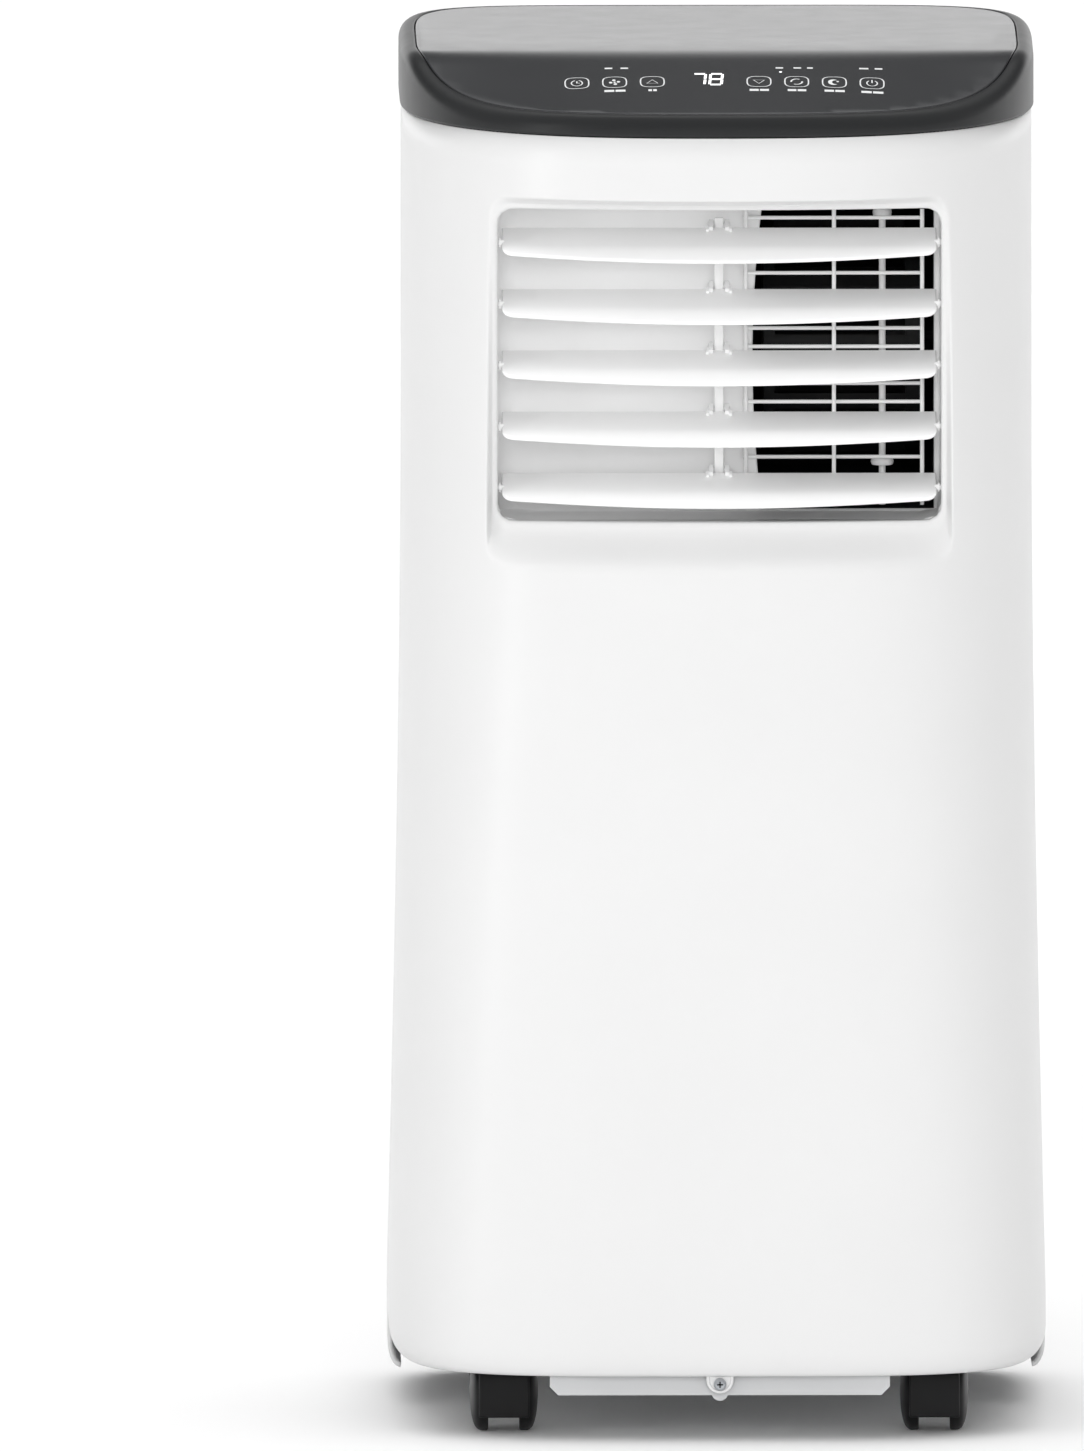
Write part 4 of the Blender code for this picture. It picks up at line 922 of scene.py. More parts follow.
def top_cover():
    """The cap: a rounded rim round a pocket for the control panel."""
    loops = [cap_outline(CAP_BOTTOM + 0.0008, 0.0034), cap_outline(CAP_BOTTOM, 0.0030)]
    loops += [cap_outline(CAP_BOTTOM, 0.0006), cap_outline(CAP_BOTTOM + 0.0006, 0.0)]
    loops += [cap_outline(CAP_BOTTOM + 0.0014, 0.0), cap_outline(HEIGHT - CAP_ROUNDING, 0.0)]
    for step in range(1, 9):
        angle = math.radians(90.0 * step / 8)
        inset = CAP_ROUNDING * (1.0 - math.cos(angle))
        loops.append(cap_outline(HEIGHT - CAP_ROUNDING * (1.0 - math.sin(angle)), inset))
    pocket = PANEL_INSET - 0.0005
    floor = HEIGHT - PANEL_THICKNESS - GAP
    loops += [cap_outline(HEIGHT, pocket - 0.0006), cap_outline(HEIGHT - 0.0002, pocket - 0.0002)]
    loops += [cap_outline(HEIGHT - 0.0006, pocket), cap_outline(floor, pocket), cap_outline(floor, 0.016)]
    edit = skin(loops)
    slope_top(edit)
    # The rim takes the charcoal darkened with painted shade.
    finish_piece("cap_rim", edit, "shaded_rim_abs", nodes=("top_cover",), sharp=50.0)


def control_panel():
    """The flat lid of the cap, creased between its level rear and its sloped front."""
    loops = [cap_outline(HEIGHT - PANEL_THICKNESS, PANEL_INSET + 0.003)]
    loops += [cap_outline(HEIGHT - PANEL_THICKNESS, PANEL_INSET), cap_outline(HEIGHT - 0.0006, PANEL_INSET)]
    loops += [cap_outline(HEIGHT - 0.0002, PANEL_INSET + 0.0002), cap_outline(HEIGHT, PANEL_INSET + 0.0006)]
    edit = skin(loops, fill_last=True)
    slope_top(edit)
    finish_piece("panel_lid", edit, "charcoal_abs", nodes=("control_panel",), sharp=50.0)


# --- the panel's printed signs -------------------------------------------------------------

SIGN_Y = -0.0995
SIGN_PITCH = 0.01787
PILL_HALF_WIDTH = 0.0056
PILL_HALF_LENGTH = 0.0088
INK_WIDTH = 0.00062
INK_HEIGHT = 0.00006
SIGN_STRETCH = 1.75  # the signs are drawn tall, to look right along the shallow slope


def on_panel(x, y):
    """A point of the panel's top, lifted by the thickness of the ink."""
    return Vector((x, y, HEIGHT - crease_drop(x, y) + INK_HEIGHT))


def ink_ribbon(edit, points, width=INK_WIDTH, closed=False):
    """A flat stroke along (x, y) points of the panel."""
    count = len(points)
    pairs = []
    for index, (x, y) in enumerate(points):
        before = points[index - 1] if closed or index else points[0]
        after = points[(index + 1) % count] if closed or index < count - 1 else points[-1]
        way = Vector((after[0] - before[0], after[1] - before[1])).normalized()
        side = Vector((-way.y, way.x)) * width / 2
        rails = (on_panel(x + side.x, y + side.y), on_panel(x - side.x, y - side.y))
        pairs.append([edit.verts.new(place) for place in rails])
    rails = [[pair[0] for pair in pairs], [pair[1] for pair in pairs]]
    edges = []
    for rail in rails:
        ends = rail[1:] + rail[:1] if closed else rail[1:]
        edges.append([edit.edges.new(pair) for pair in zip(rail, ends)])
    if closed:
        bmesh.ops.bridge_loops(edit, edges=edges[0] + edges[1])
        return
    for first, second in zip(pairs, pairs[1:]):
        edit.faces.new((first[0], first[1], second[1], second[0]))


def ink_patch(edit, points):
    """A solid spot of ink with this outline."""
    edit.faces.new([edit.verts.new(on_panel(x, y)) for x, y in points])


def oval(x, y, radius, start=0.0, end=360.0, steps=24, stretch=SIGN_STRETCH):
    """Points round an arc that is drawn tall with the signs."""
    points = []
    for step in range(steps + (end - start < 360.0)):
        angle = math.radians(start + (end - start) * step / steps)
        points.append((x + radius * math.cos(angle), y + radius * stretch * math.sin(angle)))
    return points


def pill(x, y):
    """The rounded frame of a touch key."""
    points = []
    for step in range(64):
        angle = math.tau * step / 64
        across, along = math.cos(angle), math.sin(angle)
        wide = PILL_HALF_WIDTH * math.copysign(abs(across) ** 0.62, across)
        points.append((x + wide, y + PILL_HALF_LENGTH * math.copysign(abs(along) ** 0.62, along)))
    return points


def timer_sign(edit, x, y):
    ink_ribbon(edit, oval(x, y, 0.0026, 110, 430))
    ink_ribbon(edit, [(x, y + 0.0030), (x, y), (x + 0.0014, y)])


def fan_sign(edit, x, y):
    for turn in range(4):
        blade = oval(0.0019, 0.0, 0.00085, steps=14, stretch=1.0)
        angle = math.radians(90.0 * turn + 10.0)
        points = []
        for across, along in blade:
            u = across * math.cos(angle) - along * math.sin(angle)
            v = across * math.sin(angle) + along * math.cos(angle)
            points.append((x + u, y + v * SIGN_STRETCH))
        ink_patch(edit, points)
    ink_patch(edit, oval(x, y, 0.0006, steps=12))


def arrow_sign(edit, x, y, way):
    tip, base = y + way * 0.0034, y - way * 0.0026
    ink_ribbon(edit, [(x - 0.0026, base), (x, tip), (x + 0.0026, base)], closed=True)


def cycle_sign(edit, x, y):
    for start in (60, 240):
        ink_ribbon(edit, oval(x, y, 0.0026, start, start + 125), 0.0008)


def moon_sign(edit, x, y):
    outer = oval(x - 0.0004, y, 0.0026, 60, 300, 20)
    inner = oval(x + 0.0008, y, 0.0019, 285, 75, 20)
    ink_patch(edit, outer + inner)
    ink_patch(edit, oval(x + 0.0016, y + 0.0012, 0.0006, steps=10))


def power_sign(edit, x, y):
    ink_ribbon(edit, oval(x, y, 0.0025, 125, 415), 0.0006)
    ink_ribbon(edit, [(x, y + 0.0052), (x, y + 0.0006)], 0.0006)


def segment_digits(edit, x, y, wide, tall, lit):
    """One seven-segment figure; lit names its segments from the top, clockwise, then the middle one."""
    half_w, half_t, bar = wide / 2, tall / 2, 0.0016
    slant = 0.04
    bars = {
        "a": ((-half_w, half_t), (half_w, half_t)),
        "b": ((half_w, half_t), (half_w, 0)),
        "c": ((half_w, 0), (half_w, -half_t)),
        "d": ((half_w, -half_t), (-half_w, -half_t)),
        "e": ((-half_w, -half_t), (-half_w, 0)),
        "f": ((-half_w, 0), (-half_w, half_t)),
        "g": ((-half_w, 0), (half_w, 0)),
    }
    for name in lit:
        (x0, y0), (x1, y1) = bars[name]
        level = y0 == y1
        width = bar * (1.5 if level else 0.78)
        ease_x = math.copysign(0.0003, x1 - x0) if level else 0.0
        ease_y = math.copysign(0.0008, y1 - y0) if not level else 0.0
        start = (x + x0 + ease_x + slant * y0, y + y0 + ease_y)
        end = (x + x1 - ease_x + slant * y1, y + y1 - ease_y)
        ink_ribbon(edit, [start, end], width)


def printed_signs():
    """The white print: seven keys' frames and signs, and plain bars in place of words."""
    edit = bmesh.new()
    left, right = -0.0672, 0.0191
    columns = [left + SIGN_PITCH * place for place in range(3)]
    columns += [right + SIGN_PITCH * place for place in range(4)]
    for x in columns:
        ink_ribbon(edit, pill(x, SIGN_Y), closed=True)
    timer_sign(edit, columns[0], SIGN_Y)
    fan_sign(edit, columns[1], SIGN_Y)
    arrow_sign(edit, columns[2], SIGN_Y, 1)
    arrow_sign(edit, columns[3], SIGN_Y, -1)
    cycle_sign(edit, columns[4], SIGN_Y)
    moon_sign(edit, columns[5], SIGN_Y)
    power_sign(edit, columns[6], SIGN_Y)
    for x, half in zip(columns[1:], (0.0050, 0.0020, 0.0046, 0.0044, 0.0048, 0.0052)):
        for side in (-1, 1):
            ends = [(x + side * reach, SIGN_Y - 0.0146) for reach in (0.0003, half)]
            ink_ribbon(edit, ends, 0.0034)
    upper_bars = [(-0.0520, 0.0018), (-0.0445, 0.0018), (0.0290, 0.0018), (0.0375, 0.0018)]
    upper_bars += [(0.0435, 0.0014), (0.0690, 0.0022), (0.0760, 0.0018)]
    for x, half in upper_bars:
        ink_ribbon(edit, [(x - half, SIGN_Y + 0.0235), (x + half, SIGN_Y + 0.0235)], 0.0022)
    finish_piece("panel_print", edit, "ink")
    edit = bmesh.new()
    segment_digits(edit, -0.0092, SIGN_Y + 0.0040, 0.0056, 0.0185, "abc")
    segment_digits(edit, -0.0012, SIGN_Y + 0.0040, 0.0056, 0.0185, "abcdefg")
    ink_patch(edit, oval(0.0295, SIGN_Y + 0.0165, 0.0007, steps=12))
    finish_piece("lit_figures", edit, "lit")


# --- the outlet ----------------------------------------------------------------------------


def outlet_duct():
    """The duct behind the louvres: smooth walls that curve into a back with a bowed mouth."""
    node_low, node_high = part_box("outlet_duct")
    half = OUTLET[0] + 0.0003
    walls = (-half, half, OUTLET[1] - 0.0003, OUTLET[2] + 0.0003)
    turn_left, turn_rest, turn_depth = 0.012, 0.0012, 0.009
    back = DUCT_BACK_Y - DUCT_WALL
    inner = (walls[0] + turn_left, walls[1] - turn_rest, walls[2] + turn_rest, walls[3] - turn_rest)
    square = [(1.0, v) for v in spread(-1.0, 1.0, 0.1)]
    square += [(u, 1.0) for u in spread(-1.0, 1.0, 0.08)[::-1][1:]]
    square += [(-1.0, v) for v in spread(-1.0, 1.0, 0.1)[::-1][1:]]
    square += [(u, -1.0) for u in spread(-1.0, 1.0, 0.08)[1:-1]]

    def ring(corners, radius, y):
        return [Vector((x, y, z)) for x, z in [on_rounded(u, v, *corners, radius) for u, v in square]]

    def mouth(y, extra=0.0):
        low, high = MOUTH_Z
        loop = []
        for u, v in square:
            z = (low + high) / 2 + v * ((high - low) / 2 + extra)
            left = MOUTH_LEFT_X - MOUTH_BULGE * (1.0 - v * v) - extra
            loop.append(Vector((left + (MOUTH_RIGHT_X + extra - left) * (u + 1.0) / 2, y, z)))
        return loop

    outside = (node_low.x, node_high.x, node_low.z, node_high.z)
    loops = [ring(outside, 0.009, DUCT_FRONT_Y), ring(walls, OUTLET[3], DUCT_FRONT_Y)]
    loops.append(ring(walls, OUTLET[3], back - turn_depth))
    for step in range(1, 9):
        angle = math.radians(90.0 * step / 8)
        share = 1.0 - math.cos(angle)
        corners = [a + (b - a) * share for a, b in zip(walls, inner)]
        y = back - turn_depth * (1.0 - math.sin(angle))
        loops.append(ring(corners, OUTLET[3] * (1.0 - 0.5 * share), y))
    loops += [mouth(back, 0.0006), mouth(back + 0.0006), mouth(DUCT_BACK_Y)]
    loops += [ring(outside, 0.009, DUCT_BACK_Y), loops[0]]
    edit = skin(loops)
    bmesh.ops.remove_doubles(edit, verts=edit.verts, dist=1e-6)
    finish_piece("duct_shell", edit, "grey_abs", nodes=("outlet_duct",))


def blade_outline():
    """The blade seen square on: (x, distance behind the pivot), with a bowed front and round corners."""
    reach = LOUVRE_HALF_LENGTH
    points = [(reach, LOUVRE_BEHIND), (-reach, LOUVRE_BEHIND)]
    for step in range(9):
        angle = math.radians(180 + 90 * step / 8)
        x = -reach + LOUVRE_CORNER * (1 + math.cos(angle))
        points.append((x, -LOUVRE_AHEAD + LOUVRE_CORNER * (1 + math.sin(angle))))
    span = reach - LOUVRE_CORNER
    for step in range(1, 32):
        x = -span + 2 * span * step / 32
        points.append((x, -LOUVRE_AHEAD - LOUVRE_BOW * (1 - (x / span) ** 2)))
    for step in range(9):
        angle = math.radians(270 + 90 * step / 8)
        x = reach - LOUVRE_CORNER * (1 - math.cos(angle))
        points.append((x, -LOUVRE_AHEAD + LOUVRE_CORNER * (1 + math.sin(angle))))
    return points


def add_blade(edit):
    """A thin blade whose front edge curls down into a rounded nose."""
    half = LOUVRE_THICKNESS / 2
    before = set(edit.verts)
    face = edit.faces.new([edit.verts.new((x, y, -half)) for x, y in blade_outline()])
    swept = bmesh.ops.extrude_face_region(edit, geom=[face])["geom"]
    bmesh.ops.translate(
        edit, verts=[part for part in swept if isinstance(part, bmesh.types.BMVert)], vec=(0, 0, 2 * half)
    )
    made = [point for point in edit.verts if point not in before]
    edges = {edge for point in made for edge in point.link_edges}
    rims = {edge for edge in edges if abs(edge.verts[0].co.z - edge.verts[1].co.z) < 1e-9}
    bmesh.ops.bevel(
        edit, geom=list(rims), offset=half * 0.85, segments=3, profile=0.5, affect="EDGES", material=-1
    )
    slice_mesh(edit, Y, [-0.0160 + 0.0014 * step for step in range(9)])
    for point in edit.verts:
        ahead = max(-0.004 - point.co.y, 0.0)
        if point not in before:
            point.co.z -= 14.0 * ahead * ahead
    return [point for point in edit.verts if point not in before]


def louvre_pivot(index):
    return Vector((0.0, LOUVRE_PIVOT_Y, LOUVRE_TOP_PIVOT - LOUVRE_PITCH * index))


def louvres():
    """Five blades on pins, each with two ears that clip round the link's pin."""
    for index in range(LOUVRE_COUNT):
        edit = bmesh.new()
        add_blade(edit)
        for side in (-1, 1):
            add_rod(edit, side * X * (LOUVRE_HALF_LENGTH - 0.001), side * X, 0.0046, PIN)
            add_rod(edit, side * X * (LOUVRE_HALF_LENGTH + 0.0006), side * X, 0.0008, PIN * 1.7)
            ends = sorted((side * (LINK_HALF_WIDTH + 0.0006), side * (LINK_HALF_WIDTH + 0.0026)))
            ear = add_box(edit, (ends[0], LOUVRE_BEHIND - 0.0035, -0.0009), (ends[1], LINK_BEHIND, 0.0026))
            low_rear = [point for point in ear if point.co.z < 0 and point.co.y > LOUVRE_BEHIND]
            bmesh.ops.translate(edit, verts=low_rear, vec=(0, 0, -0.0017))
            add_rod(edit, (ends[0], LINK_BEHIND, 0), X, ends[1] - ends[0], 0.0026, 24)
            gusset = sorted((side * (LINK_HALF_WIDTH + 0.0026), side * (LINK_HALF_WIDTH + 0.0040)))
            gusset_low = (gusset[0], LOUVRE_BEHIND - 0.0050, 0.0005)
            add_box(edit, gusset_low, (gusset[1], LOUVRE_BEHIND - 0.0012, 0.0022))
        place = Matrix.Translation(louvre_pivot(index)) @ Matrix.Rotation(LOUVRE_TILT, 4, "X")
        bmesh.ops.transform(edit, matrix=place, verts=edit.verts)
        body = f"louvre_{index + 1}"
        finish_piece(f"blade_{index + 1}", edit, "lightened_louvre_abs", body, (body,), 40.0)


def louvre_link():
    """The upright bar that ties the louvres together."""
    offset = Matrix.Rotation(LOUVRE_TILT, 4, "X") @ Vector((0.0, LINK_BEHIND, 0.0))
    pins = [louvre_pivot(index) + offset for index in range(LOUVRE_COUNT)]
    node_low, node_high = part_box("louvre_link")
    edit = bmesh.new()
    bar_low = (-LINK_HALF_WIDTH, pins[0].y - LINK_HALF_DEPTH, node_low.z)
    add_box(edit, bar_low, (LINK_HALF_WIDTH, pins[0].y + LINK_HALF_DEPTH, node_high.z))
    bmesh.ops.bevel(
        edit, geom=edit.edges[:], offset=0.0005, segments=2, profile=0.5, affect="EDGES", material=-1
    )
    for pin in pins:
        add_rod(edit, pin - X * node_high.x, X, 2 * node_high.x, 0.0011)
    finish_piece("link_bar", edit, "lightened_louvre_abs", "link", ("louvre_link",))


def outlet_guard():
    """Sixteen level wires welded to three upright ones."""
    low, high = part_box("outlet_guard")
    edit = bmesh.new()
    for row in range(GUARD_ROWS):
        start = (low.x, GUARD_WIRE_Y, GUARD_TOP - GUARD_PITCH * row)
        add_rod(edit, start, X, high.x - low.x, GUARD_WIRE, 12)
    for x in GUARD_UPRIGHTS:
        add_rod(edit, (x, GUARD_UPRIGHT_Y, low.z), Z, high.z - low.z, GUARD_UPRIGHT, 12)
    finish_piece("guard_wires", edit, "coated_wire", nodes=("outlet_guard",))


def duct_post():
    """The turned post behind the guard."""
    low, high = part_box("duct_post")
    edit = bmesh.new()
    stem = 0.0016
    profile = [(0, 0), (stem, 0), (stem, 0.0130), (0.0030, 0.0132), (0.0034, 0.0140), (0.0030, 0.0148)]
    profile += [(stem, 0.0150), (stem, 0.0186), (0.0050, 0.0191), (0.0055, 0.0206), (0.0050, 0.0222)]
    profile += [(stem, 0.0226), (stem, 0.1360), (0.0042, 0.1370), (0.0046, 0.1392)]
    profile += [(0.0042, 0.1412), (0, 0.1412)]
    middle = (low + high) / 2
    add_turned(edit, profile, (middle.x, middle.y, low.z), Z, 32)
    finish_piece("guard_post", edit, "grey_abs", nodes=("duct_post",))


# --- the rear's fittings -------------------------------------------------------------------


def exhaust_collar():
    """The flanged ring for the hose, with a rounded flange."""
    inner, outer, front, seat, back = EXHAUST_RADIUS, COLLAR_RADIUS, 0.1450, 0.1586, 0.1634
    edit = bmesh.new()
    profile = [(inner, front), (inner + 0.0035, front), (inner + 0.0035, seat), (outer, seat)]
    profile += [(outer, back - 0.0012), (outer - 0.0004, back - 0.0004), (outer - 0.0012, back)]
    profile += [(inner + 0.0010, back), (inner + 0.0003, back - 0.0003), (inner, back - 0.0010)]
    add_turned(edit, profile, (EXHAUST[0], 0, EXHAUST[1]), Y, 96, ring=True)
    finish_piece("hose_collar", edit, "white_abs", nodes=("exhaust_collar",))


def cord_gland():
    back, length, bore = HALF_DEPTH - 0.0095, 0.0068, 0.0036
    edit = bmesh.new()
    profile = [(bore, back), (CORD_RADIUS, back), (CORD_RADIUS, back + length - 0.0008)]
    profile += [(CORD_RADIUS - 0.0008, back + length), (bore + 0.0006, back + length)]
    profile += [(bore, back + length - 0.0006)]
    add_turned(edit, profile, (CORD[0], 0, CORD[1]), Y, 48, ring=True)
    finish_piece("cord_bush", edit, "nylon", nodes=("cord_gland",))


def drain_plug():
    """The rubber plug with a rounded rim."""
    seat, shank, rim = HALF_DEPTH - 0.0040, DRAIN_RADIUS - 0.0016, DRAIN_RADIUS
    edit = bmesh.new()
    profile = [(0, seat - 0.006), (shank, seat - 0.006), (shank + 0.0002, seat + 0.0008)]
    profile += [(rim - 0.0004, seat + 0.0014), (rim, seat + 0.0018), (rim, seat + 0.0028)]
    profile += [(rim - 0.0004, seat + 0.0034), (rim - 0.0012, seat + 0.0038)]
    profile += [(rim - 0.0030, seat + 0.0038), (rim - 0.0034, seat + 0.0032), (0, seat + 0.0032)]
    add_turned(edit, profile, (DRAIN[0], 0, DRAIN[1]), Y, 48)
    finish_piece("plug_body", edit, "rubber", "plug", ("drain_plug",))


def filter_net():
    """The fine net behind the filter cover."""
    low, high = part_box("filter_mesh")
    edit = bmesh.new()
    add_box(edit, (low.x, low.y, low.z), (high.x, high.y - 0.0012, high.z))
    finish_piece("filter_net", edit, "net", "filter", ("filter_mesh",))


# --- the base and the casters --------------------------------------------------------------


def base_screw():
    """A pan-head screw with a cross recess, whose shade is painted as a thin dark cross of black nylon laid
    on the head.
    """
    head_y = -HALF_DEPTH + 0.004
    middle = (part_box("base_screw")[0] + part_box("base_screw")[1]) / 2
    edit = bmesh.new()
    profile = [(0, -0.0013), (0.0008, -0.0013), (0.0009, -0.0020), (0.0020, -0.0019), (0.0027, -0.0014)]
    profile += [(0.0030, -0.0008), (0.0030, -0.0004), (0.0013, -0.0004), (0.0013, 0.0080), (0, 0.0100)]
    add_turned(edit, profile, (0, head_y, middle.z), Y, 40)
    finish_piece("tab_screw", edit, "zinc", nodes=("base_screw",))
    edit = bmesh.new()
    # Painted shade: the cross recess is drawn as a dark nylon cross on the head, not cut into it.
    for wide, tall in ((0.0015, 0.0003), (0.0003, 0.0015)):
        add_box(edit, (-wide, head_y - 0.00202, middle.z - tall), (wide, head_y - 0.0012, middle.z + tall))
    finish_piece("screw_recess_shade", edit, "nylon")


def hood_outline(reach, low, shoulder, top, steps=10):
    """The hood seen from the side, as (distance along the trail, height)."""
    points = [(CASTER_TRAIL + reach, low), (CASTER_TRAIL + reach, shoulder)]
    for step in range(1, steps + 1):
        angle = math.radians(90.0 * step / steps)
        points.append((CASTER_TRAIL + reach * math.cos(angle), shoulder + (top - shoulder) * math.sin(angle)))
    points += [(-0.009, top), (CASTER_TRAIL - reach, shoulder), (CASTER_TRAIL - reach, CASTER_WHEEL - 0.003)]
    points += [(CASTER_TRAIL - 0.004, CASTER_WHEEL - 0.006), (CASTER_TRAIL + 0.008, low)]
    return points


def casters():
    """Twin-wheel casters: a hood over two barrel-domed wheels, with a stem into the base."""
    for end, facing in (("front", -1), ("rear", 1)):
        for hand, side in (("left", -1), ("right", 1)):
            place = Matrix.Translation((side * CASTER_X, facing * CASTER_Y, 0.0))
            turn = place @ Matrix.Rotation(0.0 if facing > 0 else math.pi, 4, "Z")
            caster_hood(f"{end}_{hand}", turn)
            caster_wheels(f"{end}_{hand}", turn)


def caster_hood(name, turn):
    edit = bmesh.new()
    wide = 0.0119
    side_view = hood_outline(0.0215, 0.008, 0.026, CASTER_TOP)
    face = edit.faces.new([edit.verts.new((-wide, y, z)) for y, z in side_view])
    swept = bmesh.ops.extrude_face_region(edit, geom=[face])["geom"]
    far_side = [part for part in swept if isinstance(part, bmesh.types.BMVert)]
    bmesh.ops.translate(edit, verts=far_side, vec=X * 2 * wide)
    hood = finish_piece(
        f"hood_{name}", edit, "nylon", f"swivel_{name}", (f"caster_hood_{name}",)
    )
    for side in (-1, 1):
        ends = sorted((side * 0.0066, side * 0.02))
        cut(hood, side_tool(ends, CASTER_WHEEL + 0.0010))
    cut(hood, side_tool((-0.02, 0.02), 0.0027))
    soften(hood, 0.0009, 3, 50.0)
    edit = bmesh.new()
    profile = [(0, 0.0), (0.0058, 0.0), (0.0058, 0.0008), (0.0040, 0.0012)]
    profile += [(0.0040, 0.0154), (0, 0.0154)]
    add_turned(edit, profile, (0, 0, CASTER_TOP), Z, 32)
    stem = finish_piece(f"stem_{name}", edit, "zinc", f"swivel_{name}")
    for piece in (hood, stem):
        piece.data.transform(turn)


def side_tool(ends, radius):
    """A cylinder along the axle, for cutting the hood."""
    edit = bmesh.new()
    add_rod(edit, (ends[0], CASTER_TRAIL, CASTER_WHEEL), X, ends[1] - ends[0], radius, 64)
    bmesh.ops.recalc_face_normals(edit, faces=edit.faces)
    mesh = bpy.data.meshes.new("tool")
    edit.to_mesh(mesh)
    edit.free()
    tool = bpy.data.objects.new("tool", mesh)
    bpy.context.scene.collection.objects.link(tool)
    return tool


def cut(piece, tool):
    """Takes a tool's shape out of a piece, and removes the tool."""
    modifier = piece.modifiers.new("cut", "BOOLEAN")
    modifier.operation = "DIFFERENCE"
    modifier.solver = "EXACT"
    modifier.object = tool
    graph = bpy.context.evaluated_depsgraph_get()
    shaped = bpy.data.meshes.new_from_object(piece.evaluated_get(graph))
    piece.modifiers.clear()
    piece.data = shaped
    shaped.shade_smooth()
    shaped.set_sharp_from_angle(angle=math.radians(30.0))
    bpy.data.objects.remove(tool)


def caster_wheels(name, turn):
    start, end, dome = 0.0074, 0.0120, 0.0042
    edit = bmesh.new()
    outer = [(0.0, end + dome), (0.0022, end + dome)]
    for step in range(1, 10):
        angle = math.radians(90.0 * step / 10)
        outer.append(((CASTER_WHEEL - 0.0006) * math.sin(angle) ** 0.9, end + dome * math.cos(angle)))
    outer += [(CASTER_WHEEL - 0.0002, end - 0.0003), (CASTER_WHEEL, end - 0.0010)]
    outer += [(CASTER_WHEEL, start + 0.0006)]
    outer += [(CASTER_WHEEL - 0.0006, start), (0.0022, start)]
    profile = [(radius, -along) for radius, along in outer] + list(reversed(outer))
    add_turned(edit, profile, (0, CASTER_TRAIL, CASTER_WHEEL), X, 72)
    wheels = finish_piece(
        f"wheels_{name}", edit, "nylon", f"wheels_{name}", (f"caster_wheels_{name}",), 35.0
    )
    wheels.data.transform(turn)


def carried_over():
    """Gives the CAD nodes that keep their own shape the finish of the real thing."""
    finishes = {
        "pan_abs": ("base_pan", "mid_deck"),
        "black_abs": ("blower_housing", "blower_wheel", "exhaust_housing", "exhaust_wheel"),
        "zinc": ("blower_motor", "exhaust_motor", "electrical_box"),
        "fins": ("evaporator_coil", "condenser_coil"),
        "enamel": ("compressor", "accumulator"),
        "rubber": ("compressor_foot_1", "compressor_foot_2", "compressor_foot_3"),
        "copper": ("discharge_pipe", "suction_pipe"),
        "aluminium": ("run_capacitor",),
        "board": ("control_board",),
        "nylon": ("display_module",),
    }
    for finish, nodes in finishes.items():
        for node in nodes:
            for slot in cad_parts[node].material_slots:
                slot.material = MATERIALS[finish]


# --- the studio ----------------------------------------------------------------------------


def area_light(name, place, target, size, power_watts, colour="FFFFFF"):
    light = bpy.data.lights.new(name, "AREA")
    light.shape = "RECTANGLE"
    light.size, light.size_y = size
    light.energy = power_watts
    light.color = linear(colour)[:3]
    lamp = bpy.data.objects.new(name, light)
    lamp.location = place
    lamp.rotation_euler = (Vector(target) - Vector(place)).to_track_quat("-Z", "Y").to_euler()
    bpy.context.scene.collection.objects.link(lamp)


def smooth_share(tree, value, low, high):
    """How far a value lies between two others, eased at both ends."""
    share = add(
        tree,
        "ShaderNodeMapRange",
        {"Value": value, "From Min": low, "From Max": high},
        interpolation_type="SMOOTHSTEP",
    )
    return share.outputs["Result"]


def sun(name, away, strength, angle):
    """A very wide, even light from far off, too soft to show as a glint."""
    light = bpy.data.lights.new(name, "SUN")
    light.energy = strength
    light.angle = math.radians(angle)
    lamp = bpy.data.objects.new(name, light)
    lamp.rotation_euler = Vector(away).to_track_quat("Z", "Y").to_euler()
    lamp.visible_glossy = False
    bpy.context.scene.collection.objects.link(lamp)


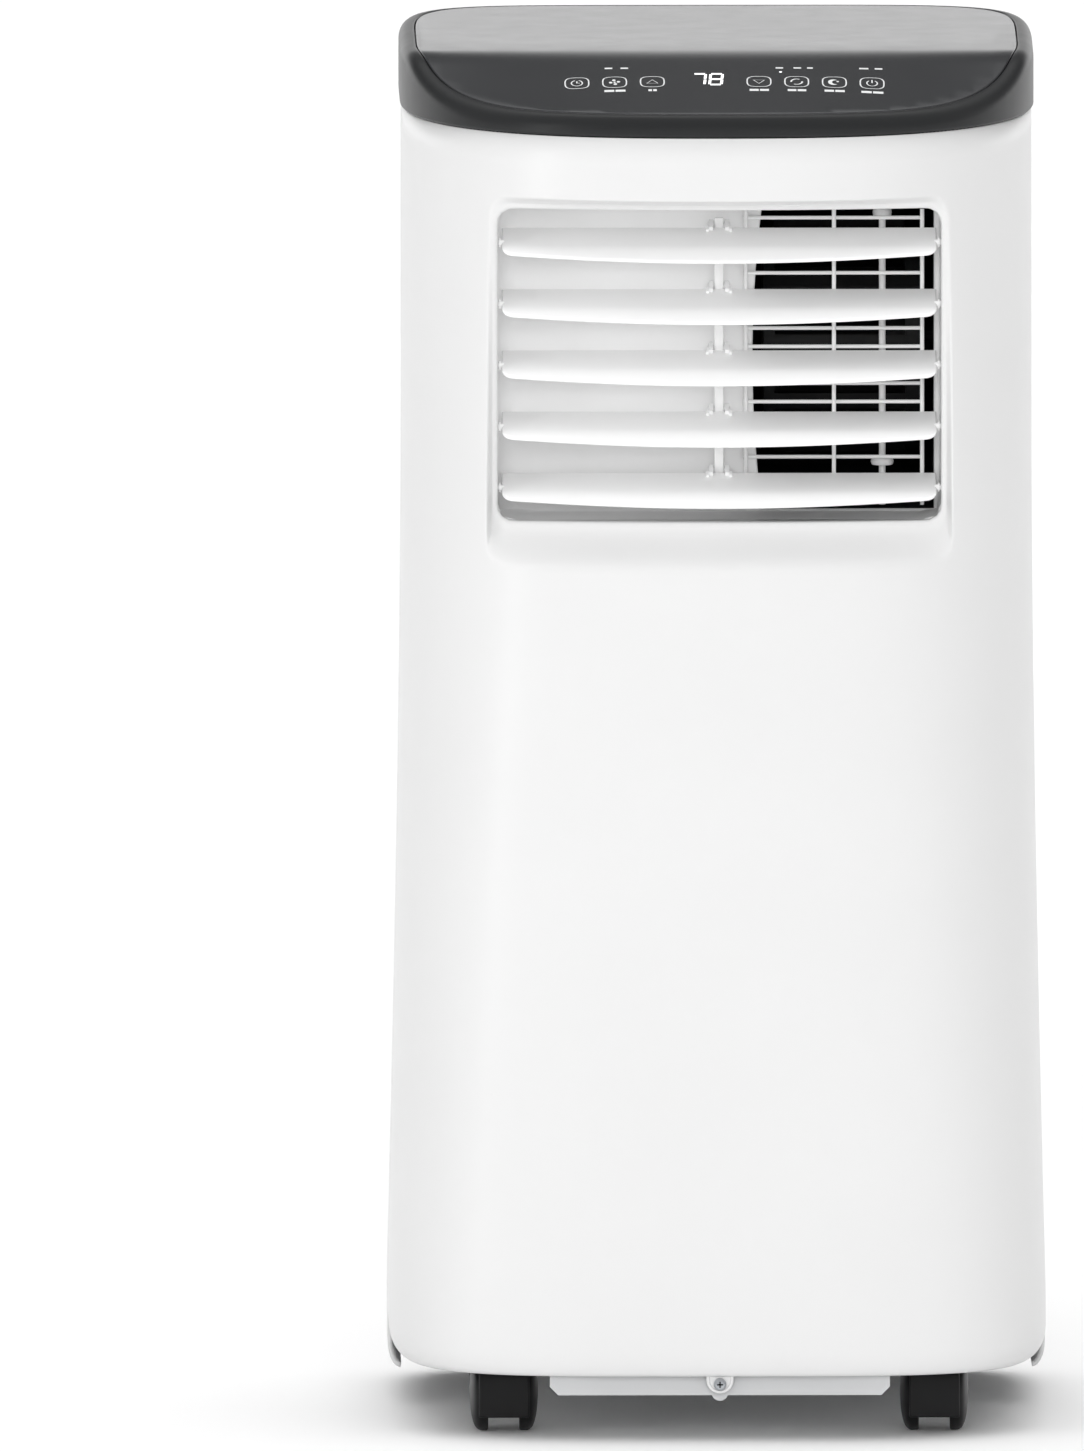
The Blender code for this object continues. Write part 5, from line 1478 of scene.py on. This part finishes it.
def studio():
    """A pale paper floor and surround, two wide even lights and a tall narrow one for the side sheen."""
    scene = bpy.context.scene
    scene.view_settings.view_transform = "Standard"
    world = bpy.data.worlds.new("surround")
    world.use_nodes = True
    tree = world.node_tree
    way = add(tree, "ShaderNodeSeparateXYZ", {0: add(tree, "ShaderNodeTexCoord").outputs["Generated"]})
    behind = smooth_share(tree, way.outputs["Y"], 0.2, 0.7)
    above = smooth_share(tree, way.outputs["Z"], 0.14, 0.34)
    top = smooth_share(tree, way.outputs["Z"], 0.60, 0.80)
    band = add(tree, "ShaderNodeMath", {0: above, 1: top}, operation="SUBTRACT").outputs["Value"]
    dark = add(tree, "ShaderNodeMath", {0: behind, 1: band}, operation="MULTIPLY").outputs["Value"]
    bright = add(tree, "ShaderNodeMath", {0: behind, 1: 1.05, 2: 0.45}, operation="MULTIPLY_ADD")
    level = add(
        tree,
        "ShaderNodeMath",
        {0: dark, 1: -1.42, 2: bright.outputs["Value"]},
        operation="MULTIPLY_ADD",
    )
    tree.links.new(level.outputs["Value"], tree.nodes["Background"].inputs["Strength"])
    tree.nodes["Background"].inputs["Color"].default_value = linear("FFFFFF")
    scene.world = world
    edit = bmesh.new()
    bmesh.ops.create_grid(edit, x_segments=4, y_segments=4, size=30.0)
    mesh = bpy.data.meshes.new("floor")
    edit.to_mesh(mesh)
    edit.free()
    floor = bpy.data.objects.new("floor", mesh)
    mesh.materials.append(studio_paper())
    bpy.context.scene.collection.objects.link(floor)
    target = (0.0, 0.0, 0.35)
    sun("front_window", (-0.02, -1.0, 0.24), 1.25, 30.0)
    sun("ceiling", (0.0, 0.10, 1.0), 1.75, 90.0)
    area_light("strip_box", (-1.9, -1.5, 0.9), target, (0.35, 2.2), 7.0)


def camera():
    """A parallel view from straight ahead, a little above the machine's middle."""
    distance, azimuth, elevation = 6.0, math.radians(-0.60), math.radians(6.3)
    target = Vector((-0.0827, 0.0, 0.3239))
    level = math.cos(elevation)
    away = Vector((math.sin(azimuth) * level, -math.cos(azimuth) * level, math.sin(elevation)))
    lens = bpy.data.cameras.new("view")
    lens.type = "ORTHO"
    lens.ortho_scale = 0.6877
    lens.clip_end = 100.0
    eye = bpy.data.objects.new("view", lens)
    eye.location = target + away * distance
    eye.rotation_euler = (-away).to_track_quat("-Z", "Y").to_euler()
    bpy.context.scene.collection.objects.link(eye)
    bpy.context.scene.camera = eye


camera()
studio()
front_casing()
front_tab()
rear_casing()
vent_cover("filter_panel", "filter_cover", "filter", UPPER_VENT, 0.0008)
vent_cover("grille_panel", "lower_grille", "chassis", LOWER_VENT, 0.0004)
filter_net()
top_cover()
control_panel()
printed_signs()
outlet_duct()
louvres()
louvre_link()
outlet_guard()
duct_post()
exhaust_collar()
cord_gland()
drain_plug()
base_screw()
casters()
carried_over()
